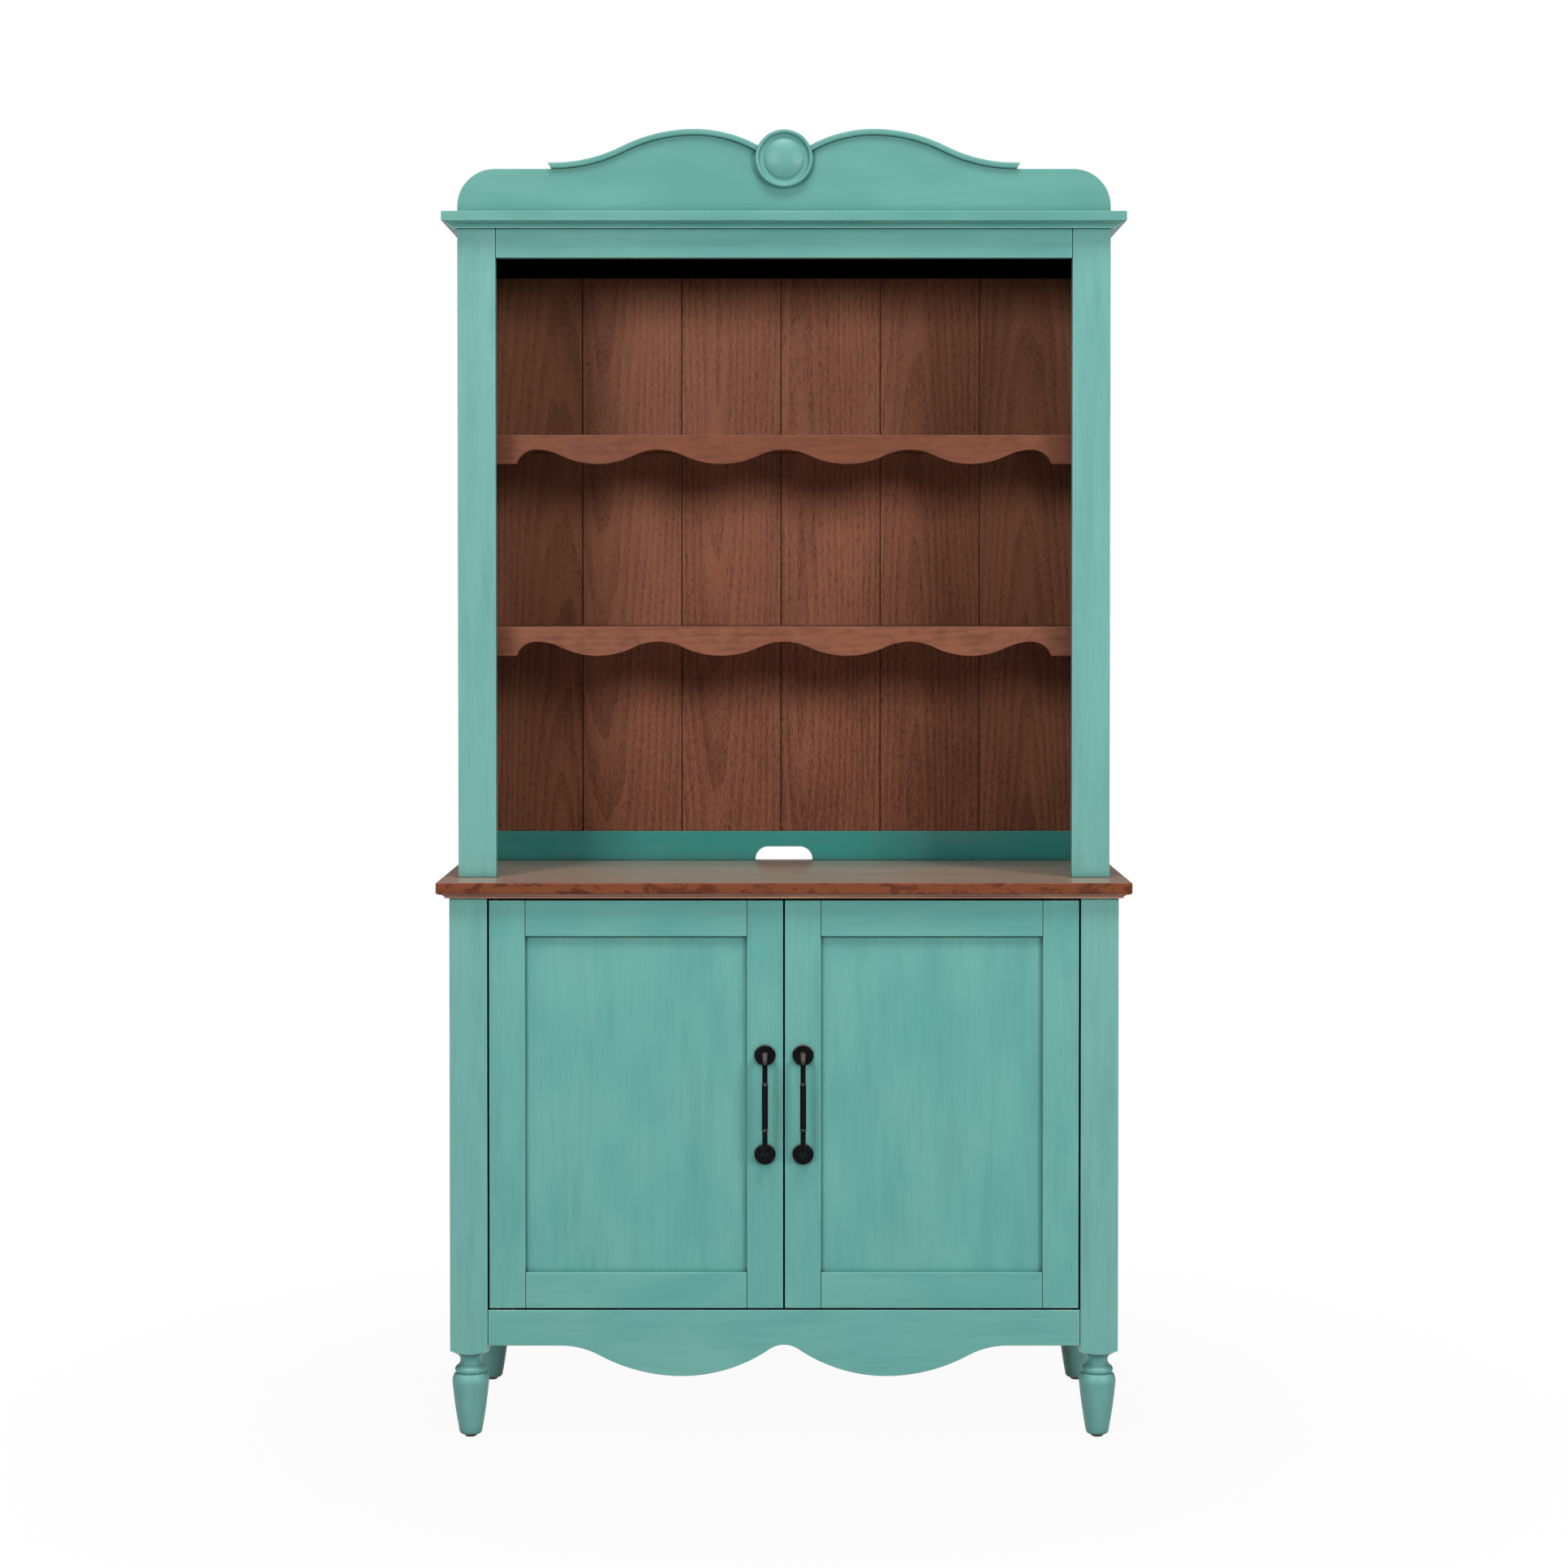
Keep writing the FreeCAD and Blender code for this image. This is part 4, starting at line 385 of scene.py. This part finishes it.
def brushed_paint(name, grain, settings):
    """Satin paint with a darker glaze brushed along the grain, dark glaze and painted shade in the joints
    and corners, and worn paint and painted highlight on the edges.
    """
    shader = Shader(f"paint_{name}")
    shift = seed_of(name)
    marks_across = 1 / settings.brush_width
    marks_along = 1 / settings.brush_length
    wide_scale = along(grain, marks_across * WIDE_MARKS, marks_along)
    fine_scale = along(grain, marks_across, marks_along * FINE_MARKS)
    wide = shader.noise(shader.stretched(wide_scale, shift), 3.0, 0.6)
    fine = shader.noise(shader.stretched(fine_scale, shift), 3.0, 0.6)
    patches = shader.noise(shader.stretched(along(grain, *PAINT_PATCHES), shift), 2.0, 0.5)
    body = shader.mixed(shader.ranged(patches, 0.35, 0.65), settings.paint, settings.pale)
    lean, share = paint_lean(name, settings)
    body = shader.mixed(shader.ranged(patches, 0.3, 0.7, start=share, end=share * 0.6), body, lean)
    body = shader.mixed(shader.ranged(wide, 0.45, 0.75, end=0.32), body, settings.glaze)
    body = shader.mixed(shader.ranged(fine, 0.4, 0.8, end=0.3), body, settings.glaze)
    openness = shader.corners(settings.glaze_and_shade_reach)
    # Glaze and painted shade: the paint darkens towards inner corners and recesses.
    body = shader.mixed(shader.ranged(openness, 0.5, 1.0, start=0.45, end=0.0), body, settings.corner)
    # Worn paint and painted highlight: the open edges turn lighter.
    rubbed = shader.ranged(shader.edges(settings.wear_and_highlight_reach), 0.004, 0.06, end=0.75)
    worn_and_lit_edges = shader.math("MULTIPLY", rubbed, shader.ranged(openness, 0.45, 0.8))
    body = shader.mixed(worn_and_lit_edges, body, settings.worn_and_highlight)
    # Dark glaze in the joints, and painted shade deep in the gaps between the doors and in crevices.
    body = shader.mixed(shader.ranged(openness, 0.2, 0.6, start=0.98, end=0.0), body, settings.joint)
    shader.put(shader.surface.inputs["Base Color"], body)
    smooth = settings.roughness - settings.roughness_spread
    rough = settings.roughness + settings.roughness_spread
    shader.put(shader.surface.inputs["Roughness"], shader.ranged(fine, 0.3, 0.7, start=smooth, end=rough))
    shader.put(shader.surface.inputs["Specular IOR Level"], settings.shine)
    shader.relief(fine, settings.brush_depth)
    return shader.material


# Stained wood

# Marks to a metre, across the grain and along it
STREAKS = (260.0, 9.0)
CLOUDS = (11.0, 3.0)
RING_WARPS = (16.0, 2.2)
# Marks to a metre along x, y and z
BURLS = (22.0, 22.0, 45.0)
# How far a warp moves a ring, and the scale along the grain that draws the rings out
RING_WARP_DEPTH = 14.0
RING_STRETCH = 0.06
# How widely the hearts of the trees are spread, and how far behind a piece they lie, in metres
HEART_ASIDE = 0.12
HEART_ALONG = 2.4
HEART_BEHIND = 0.03
# How much of the grain's tone shows, and how dark the seams and the painted shade in inner corners are
# beside the dark grain
TONE_SHARE = 0.7
SEAM_AND_SHADE_SHARE = 0.14
# How much rougher dark grain is
GRAIN_ROUGHNESS = 0.12


def stained_wood(
        name, grain, light, dark, settings, figure=0.4, pores=0.9, roughness=0.4, varnish=0.0, mottle=0.0,
        seams=0.0, upper=None, shine=0.25, foot=0.0):
    """Wood with rings of growth, open pores and a stain that takes unevenly."""
    shader = Shader(f"stain_{name}")
    rings = growth_rings(shader, name, grain, settings)
    porous = open_pores(shader, name, grain, rings, settings)
    level = shader.ranged(shader.upward(), 0.6, 0.95)
    tone = grain_tone(shader, name, grain, rings, figure)
    tone = shader.math("ADD", tone, shader.math("MULTIPLY", porous, pores))
    # Painted shade: the back boards darken towards their foot.
    if foot:
        tone = shader.math("ADD", tone, painted_shade_at_foot(shader, foot, settings))
    if mottle:
        tone = shader.math("ADD", tone, burl_patches(shader, name, mottle, level))
    # Faces that look up take the upper colour; on the counter it is painted sheen.
    if upper:
        light = shader.mixed(level, light, upper)
    body = shader.mixed(shader.math("MULTIPLY", tone, TONE_SHARE, clamp=True), light, dark)
    body = dark_seams_and_corner_shade(shader, body, dark, seams, settings)
    shader.put(shader.surface.inputs["Base Color"], body)
    gloss = shader.ranged(tone, 0.0, 1.2, start=roughness, end=roughness + GRAIN_ROUGHNESS)
    shader.put(shader.surface.inputs["Roughness"], gloss)
    shader.put(shader.surface.inputs["Specular IOR Level"], shine)
    if varnish:
        varnish_over(shader, shader.math("MULTIPLY", level, varnish), settings)
    shader.relief(shader.math("MULTIPLY", porous, -pores), settings.pore_depth)
    return shader.material


def grain_tone(shader, name, grain, rings, figure):
    """How dark the grain is, from its rings, its streaks and the clouds in the stain."""
    shift = seed_of(name)
    streak = shader.noise(shader.stretched(along(grain, *STREAKS), shift), 4.0, 0.65)
    cloud = shader.noise(shader.stretched(along(grain, *CLOUDS), shift), 2.0, 0.5)
    tone = shader.math("MULTIPLY", shader.ranged(rings, 0.15, 0.95), figure)
    tone = shader.math("ADD", tone, shader.ranged(streak, 0.3, 0.72, end=0.3))
    return shader.math("ADD", tone, shader.ranged(cloud, 0.35, 0.7, start=-0.12, end=0.22))


def open_pores(shader, name, grain, rings, settings):
    """Short open pores along the grain, stronger towards the end of a ring."""
    scale = along(grain, 1 / settings.pore_width, 1 / settings.pore_length)
    pore = shader.noise(shader.stretched(scale, seed_of(name)), 2.0, 0.6)
    crowded = shader.ranged(rings, 0.3, 0.9, start=0.7, end=1.0)
    return shader.math("MULTIPLY", shader.ranged(pore, 0.48, 0.66), crowded)


def painted_shade_at_foot(shader, foot, settings):
    """Painted shade: a tone that is darkest at the foot of the back boards."""
    height = shader.node("ShaderNodeSeparateXYZ", Vector=shader.place).outputs["Z"]
    return shader.ranged(height, settings.foot_low, settings.foot_high, start=foot, end=0.0)


def burl_patches(shader, name, mottle, level):
    """Light and dark patches on the faces that don't lie level."""
    burl = shader.noise(shader.stretched(BURLS, seed_of(name)), 3.0, 0.6, 1.4)
    patchy = shader.ranged(burl, 0.38, 0.68, start=-mottle, end=mottle)
    return shader.math("MULTIPLY", patchy, shader.math("SUBTRACT", 1.0, level))


def dark_seams_and_corner_shade(shader, body, dark, seams, settings):
    """The colour darkened along the seams, and darkened as painted shade in the inner corners."""
    settled = tuple(value * SEAM_AND_SHADE_SHARE for value in dark)
    if seams:
        edge = shader.edges(settings.seam_reach)
        body = shader.mixed(shader.ranged(edge, 0.004, 0.06, end=seams), body, settled)
    # Painted shade: the wood darkens towards inner corners and crevices, such as the corner under the
    # counter's slab.
    openness = shader.corners(settings.corner_shade_reach)
    return shader.mixed(shader.ranged(openness, 0.2, 0.65, start=0.9, end=0.0), body, settled)


def varnish_over(shader, coat, settings):
    """A clear varnish with a pale haze that shows when it is seen along the surface."""
    shader.put(shader.surface.inputs["Coat Weight"], coat)
    shader.put(shader.surface.inputs["Coat Roughness"], settings.varnish_roughness)
    shader.put(shader.surface.inputs["Sheen Weight"], settings.haze_share)
    shader.put(shader.surface.inputs["Sheen Roughness"], settings.haze_roughness)
    shader.put(shader.surface.inputs["Sheen Tint"], settings.haze)


def growth_rings(shader, name, grain, settings):
    """The saw-toothed rings of a tree whose heart lies along the grain, near the piece."""
    stretch = along(grain, 1.0, RING_STRETCH)
    heart = shader.stretched(stretch, ring_centre(name, grain, stretch))
    wave_scale = math.tau / 20 / settings.ring_width
    wave = shader.node("ShaderNodeTexWave", Vector=heart, Scale=wave_scale, Distortion=0.0)
    wave.wave_type = "RINGS"
    wave.rings_direction = "SPHERICAL"
    wave.wave_profile = "SAW"
    warp = shader.noise(shader.stretched(along(grain, *RING_WARPS), seed_of(name)), 2.0, 0.5)
    shader.put(wave.inputs["Phase Offset"], shader.math("MULTIPLY", warp, RING_WARP_DEPTH))
    return wave.outputs["Fac"]


def ring_centre(name, grain, stretch):
    """How far to shift a piece from the heart of its tree, so that each has its own figure."""
    low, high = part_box(name)
    middle = [(start + end) / 2 for start, end in zip(low, high)]
    seed = seed_of(name)
    aside = (seed[0] % 1.0 - 0.5) * HEART_ASIDE
    above = (seed[1] % 1.0 - 0.5) * HEART_ALONG
    offsets = {"x": (above, HEART_BEHIND, aside), "z": (aside, HEART_BEHIND, above)}[grain]
    return tuple((offset - place) * scale for offset, place, scale in zip(offsets, middle, stretch))


# Metal and plastic

# Marks to a metre along x, y and z
RUBBED_PATCHES = (90.0, 90.0, 60.0)
METAL_GRIT = (1400.0, 1400.0, 1400.0)
ZINC_MOTTLE = (240.0, 240.0, 240.0)
PLASTIC_GRAIN = (1800.0, 1800.0, 1800.0)


def blackened_metal(name, settings):
    """Black finish, rubbed to bronze here and there, lighter on its edges as worn metal and painted
    highlight, and lighter on its upper faces as painted highlight.
    """
    shader = Shader(f"black_{name}")
    rub = shader.noise(shader.stretched(RUBBED_PATCHES, seed_of(name)), 4.0, 0.6)
    grit = shader.noise(shader.stretched(METAL_GRIT), 2.0, 0.5)
    body = shader.mixed(shader.ranged(rub, 0.5, 0.75, end=0.7), settings.black, settings.rubbed)
    # Worn metal and painted highlight along the edges.
    worn_and_highlight = shader.ranged(shader.edges(settings.wear_and_highlight_reach), 0.03, 0.2, end=0.9)
    # Painted highlight: the upper faces of a pull turn lighter.
    worn_and_highlight = shader.math("MAXIMUM", worn_and_highlight, shader.ranged(shader.upward(), 0.1, 0.7, end=0.18))
    shader.put(shader.surface.inputs["Base Color"], shader.mixed(worn_and_highlight, body, settings.bright))
    shader.put(shader.surface.inputs["Roughness"], shader.ranged(rub, 0.3, 0.7, start=0.24, end=0.16))
    shader.put(shader.surface.inputs["Specular IOR Level"], settings.black_shine)
    shader.relief(grit, settings.grit_depth)
    return shader.material


def zinc_steel(name, settings):
    """Zinc-plated steel with a faint mottle."""
    shader = Shader(f"steel_{name}")
    mottle = shader.noise(shader.stretched(ZINC_MOTTLE, seed_of(name)), 3.0, 0.6)
    dull = tuple(value * 0.7 for value in settings.steel)
    shader.put(shader.surface.inputs["Base Color"], shader.mixed(mottle, dull, settings.steel))
    shader.put(shader.surface.inputs["Roughness"], shader.ranged(mottle, 0.3, 0.7, start=0.28, end=0.44))
    shader.put(shader.surface.inputs["Metallic"], 1.0)
    return shader.material


def moulded_plastic(name, colour, depth):
    """Plain plastic with a fine moulded grain."""
    shader = Shader(f"plastic_{name}")
    grain = shader.noise(shader.stretched(PLASTIC_GRAIN), 2.0, 0.5)
    lighter = tuple(min(1.0, value * 1.5) for value in colour)
    shader.put(shader.surface.inputs["Base Color"], shader.mixed(grain, colour, lighter))
    shader.put(shader.surface.inputs["Roughness"], shader.ranged(grain, 0.3, 0.7, start=0.45, end=0.6))
    shader.relief(grain, depth)
    return shader.material


# Studio

SENSOR_WIDTH_MM = 36.0
VIEW_END = 100.0


def white_where_seen(tree, lit, seen):
    """Plain white, as far as it is seen, and its own light everywhere else."""
    mix = tree.nodes.new("ShaderNodeMixShader")
    tree.links.new(seen, mix.inputs["Fac"])
    tree.links.new(lit, mix.inputs[1])
    tree.links.new(tree.nodes.new("ShaderNodeEmission").outputs[0], mix.inputs[2])
    return mix.outputs[0]


def make_floor(settings):
    """A pale floor that keeps the shadow near the hutch and fades to plain white away from it."""
    bpy.ops.mesh.primitive_plane_add(size=settings.floor_size)
    floor = bpy.context.object
    floor.name = "floor"
    shader = Shader("pale_floor")
    shader.put(shader.surface.inputs["Base Color"], (settings.floor_grey,) * 3)
    shader.put(shader.surface.inputs["Roughness"], settings.floor_roughness)
    away = shader.tree.nodes.new("ShaderNodeVectorMath")
    away.operation = "LENGTH"
    shader.put(away.inputs[0], shader.place)
    whiteness = shader.ranged(
        away.outputs["Value"], settings.shadow_near, settings.shadow_far, start=settings.floor_white)
    rays = shader.node("ShaderNodeLightPath").outputs
    seen = shader.math("MAXIMUM", rays["Is Camera Ray"], rays["Is Glossy Ray"])
    seen = shader.math("MAXIMUM", seen, rays["Is Transmission Ray"])
    output = [node for node in shader.tree.nodes if node.type == "OUTPUT_MATERIAL"][0]
    shown = white_where_seen(
        shader.tree, shader.surface.outputs["BSDF"], shader.math("MULTIPLY", seen, whiteness))
    shader.put(output.inputs["Surface"], shown)
    floor.data.materials.append(shader.material)


def make_room(settings):
    """Even light all round, and plain white to the camera."""
    world = bpy.data.worlds.new("room")
    world.use_nodes = True
    tree = world.node_tree
    tree.nodes.clear()
    light = tree.nodes.new("ShaderNodeBackground")
    light.inputs["Strength"].default_value = settings.sky
    seen = tree.nodes.new("ShaderNodeLightPath").outputs["Is Camera Ray"]
    output = tree.nodes.new("ShaderNodeOutputWorld")
    tree.links.new(white_where_seen(tree, light.outputs[0], seen), output.inputs["Surface"])
    bpy.context.scene.world = world


def make_lamp(name, place, target, width, height, power):
    """A soft box that faces a point."""
    data = bpy.data.lights.new(name, "AREA")
    data.shape = "RECTANGLE"
    data.size = width
    data.size_y = height
    data.energy = power
    lamp = bpy.data.objects.new(name, data)
    lamp.location = place
    lamp.rotation_euler = (Vector(target) - Vector(place)).to_track_quat("-Z", "Y").to_euler()
    bpy.context.collection.objects.link(lamp)


def round_from_camera(turn, away, up):
    """A place round the hutch, turned from straight in front."""
    return (math.sin(turn) * away, -math.cos(turn) * away, up)


def make_lamps(settings):
    """A soft box on each side of the camera, a panel above the front and one behind."""
    aim = (0.0, 0.0, settings.aim_up)
    for name, turn in (("left_lamp", -settings.left_turn), ("right_lamp", settings.right_turn)):
        place = round_from_camera(turn, settings.lamp_away, settings.lamp_up)
        power = settings.lamp_power / math.cos(turn)
        make_lamp(name, place, aim, settings.lamp_width, settings.lamp_height, power)
    above = round_from_camera(0.0, settings.top_away, settings.top_up)
    make_lamp("top_panel", above, aim, settings.top_width, settings.top_depth, settings.top_power)
    behind = round_from_camera(math.pi, settings.back_away, settings.back_up)
    make_lamp("back_panel", behind, aim, settings.back_width, settings.back_depth, settings.back_power)


def make_camera(settings):
    """The camera, straight in front of the hutch."""
    data = bpy.data.cameras.new("camera")
    data.lens = settings.lens
    data.sensor_width = SENSOR_WIDTH_MM
    data.shift_y = settings.camera_shift
    data.clip_end = VIEW_END
    camera = bpy.data.objects.new("camera", data)
    camera.location = (0.0, -settings.camera_away, settings.camera_up)
    camera.rotation_euler = Euler((math.radians(90.0) - settings.camera_tilt, 0.0, 0.0))
    bpy.context.collection.objects.link(camera)
    bpy.context.scene.camera = camera


# Operators

class HUTCH_OT_paint_woodwork(bpy.types.Operator):
    """Paint the posts, panels, rails, doors, cornice and crest"""
    bl_idname = "hutch.paint_woodwork"
    bl_label = "Paint the woodwork"

    def execute(self, context):
        settings = context.scene.hutch.paint
        for grain, names in (("z", UPRIGHT_PAINT), ("x", LEVEL_PAINT)):
            for name in names:
                finish_node(name, brushed_paint(name, grain, settings))
        return {"FINISHED"}


class HUTCH_OT_stain_boards(bpy.types.Operator):
    """Stain the back boards"""
    bl_idname = "hutch.stain_boards"
    bl_label = "Stain the back boards"

    def execute(self, context):
        settings = context.scene.hutch.stain
        for name in BACK_BOARDS:
            finish_node(name, stained_wood(
                name, "z", settings.board, settings.board_dark, settings,
                figure=0.3, pores=1.0, seams=0.7, foot=0.35))
        return {"FINISHED"}


class HUTCH_OT_stain_counter(bpy.types.Operator):
    """Stain and varnish the counter and its mouldings"""
    bl_idname = "hutch.stain_counter"
    bl_label = "Stain the counter"

    def execute(self, context):
        settings = context.scene.hutch.stain
        slab, moulding = COUNTER
        # The counter's upper colour is painted sheen on its top.
        finish_node(slab, stained_wood(
            slab, "x", settings.counter, settings.counter_dark, settings,
            pores=0.2, roughness=0.3, varnish=0.6, mottle=1.2, upper=settings.counter_top, shine=0.15))
        # Painted light: the moulding's stain is lighter to brighten it in the shade under the counter.
        finish_node(moulding, stained_wood(
            moulding, "x", settings.moulding, settings.counter_dark, settings, pores=0.2))
        return {"FINISHED"}


class HUTCH_OT_stain_shelves(bpy.types.Operator):
    """Stain the shelves and their valances"""
    bl_idname = "hutch.stain_shelves"
    bl_label = "Stain the shelves"

    def execute(self, context):
        settings = context.scene.hutch.stain
        for name in SHELVES:
            stain = settings.upper_shelf if name.startswith("upper") else settings.shelf
            finish_node(name, stained_wood(
                name, "x", stain, settings.shelf_dark, settings,
                figure=0.3, pores=0.15, roughness=0.34, mottle=0.3))
        return {"FINISHED"}


class HUTCH_OT_stain_inside(bpy.types.Operator):
    """Stain the inside of the cupboard, and make the panel under the cornice near black as painted shade"""
    bl_idname = "hutch.stain_inside"
    bl_label = "Stain the inside"

    def execute(self, context):
        settings = context.scene.hutch.stain
        for name in INSIDE:
            finish_node(name, stained_wood(
                name, "x", settings.inside, settings.inside_dark, settings, roughness=0.5))
        # Painted shade: the panel under the top is made near black and without shine.
        for name in TOP_PANEL:
            finish_node(name, stained_wood(
                name, "x", settings.top, settings.top_shade_grain, settings, roughness=0.6, shine=0.0))
        return {"FINISHED"}


class HUTCH_OT_finish_pulls(bpy.types.Operator):
    """Blacken the pulls and their rosettes"""
    bl_idname = "hutch.finish_pulls"
    bl_label = "Blacken the pulls"

    def execute(self, context):
        for name in PULLS:
            finish_node(name, blackened_metal(name, context.scene.hutch.hardware))
        return {"FINISHED"}


class HUTCH_OT_finish_fittings(bpy.types.Operator):
    """Finish the screws, hinge leaves, plates, pins, glides and catches"""
    bl_idname = "hutch.finish_fittings"
    bl_label = "Finish the fittings"

    def execute(self, context):
        settings = context.scene.hutch.hardware
        for name in STEEL:
            metal = blackened_metal if "hinge" in name else zinc_steel
            finish_node(name, metal(name, settings))
        for name in GLIDES:
            finish_node(name, moulded_plastic(name, settings.glide, settings.plastic_depth))
        for name in CATCHES:
            finish_node(name, moulded_plastic(name, settings.catch, settings.plastic_depth))
        return {"FINISHED"}


class HUTCH_OT_set_stage(bpy.types.Operator):
    """Set up the floor, the room, the lamps and the camera"""
    bl_idname = "hutch.set_stage"
    bl_label = "Set the stage"

    def execute(self, context):
        settings = context.scene.hutch.studio
        context.scene.view_settings.view_transform = "Standard"
        make_floor(settings)
        make_room(settings)
        make_lamps(settings)
        make_camera(settings)
        return {"FINISHED"}


STEPS = (
    HUTCH_OT_paint_woodwork,
    HUTCH_OT_stain_boards,
    HUTCH_OT_stain_counter,
    HUTCH_OT_stain_shelves,
    HUTCH_OT_stain_inside,
    HUTCH_OT_finish_pulls,
    HUTCH_OT_finish_fittings,
    HUTCH_OT_set_stage,
)


class HUTCH_PT_finishes(bpy.types.Panel):
    """The steps that finish the hutch"""
    bl_idname = "HUTCH_PT_finishes"
    bl_label = "Hutch"
    bl_space_type = "VIEW_3D"
    bl_region_type = "UI"
    bl_category = "Hutch"

    def draw(self, context):
        for step in STEPS:
            self.layout.operator(step.bl_idname)


CLASSES = (
    PaintSettings,
    StainSettings,
    HardwareSettings,
    StudioSettings,
    HutchSettings,
    *STEPS,
    HUTCH_PT_finishes,
)


def register():
    """Add the settings, the steps and the panel to Blender."""
    for item in CLASSES:
        bpy.utils.register_class(item)
    bpy.types.Scene.hutch = PointerProperty(type=HutchSettings)


def unregister():
    """Take them out again."""
    del bpy.types.Scene.hutch
    for item in reversed(CLASSES):
        bpy.utils.unregister_class(item)


def main():
    """Finish the hutch and set the stage."""
    register()
    bpy.ops.hutch.paint_woodwork()
    bpy.ops.hutch.stain_boards()
    bpy.ops.hutch.stain_counter()
    bpy.ops.hutch.stain_shelves()
    bpy.ops.hutch.stain_inside()
    bpy.ops.hutch.finish_pulls()
    bpy.ops.hutch.finish_fittings()
    bpy.ops.hutch.set_stage()


if __name__ == "__main__":
    main()
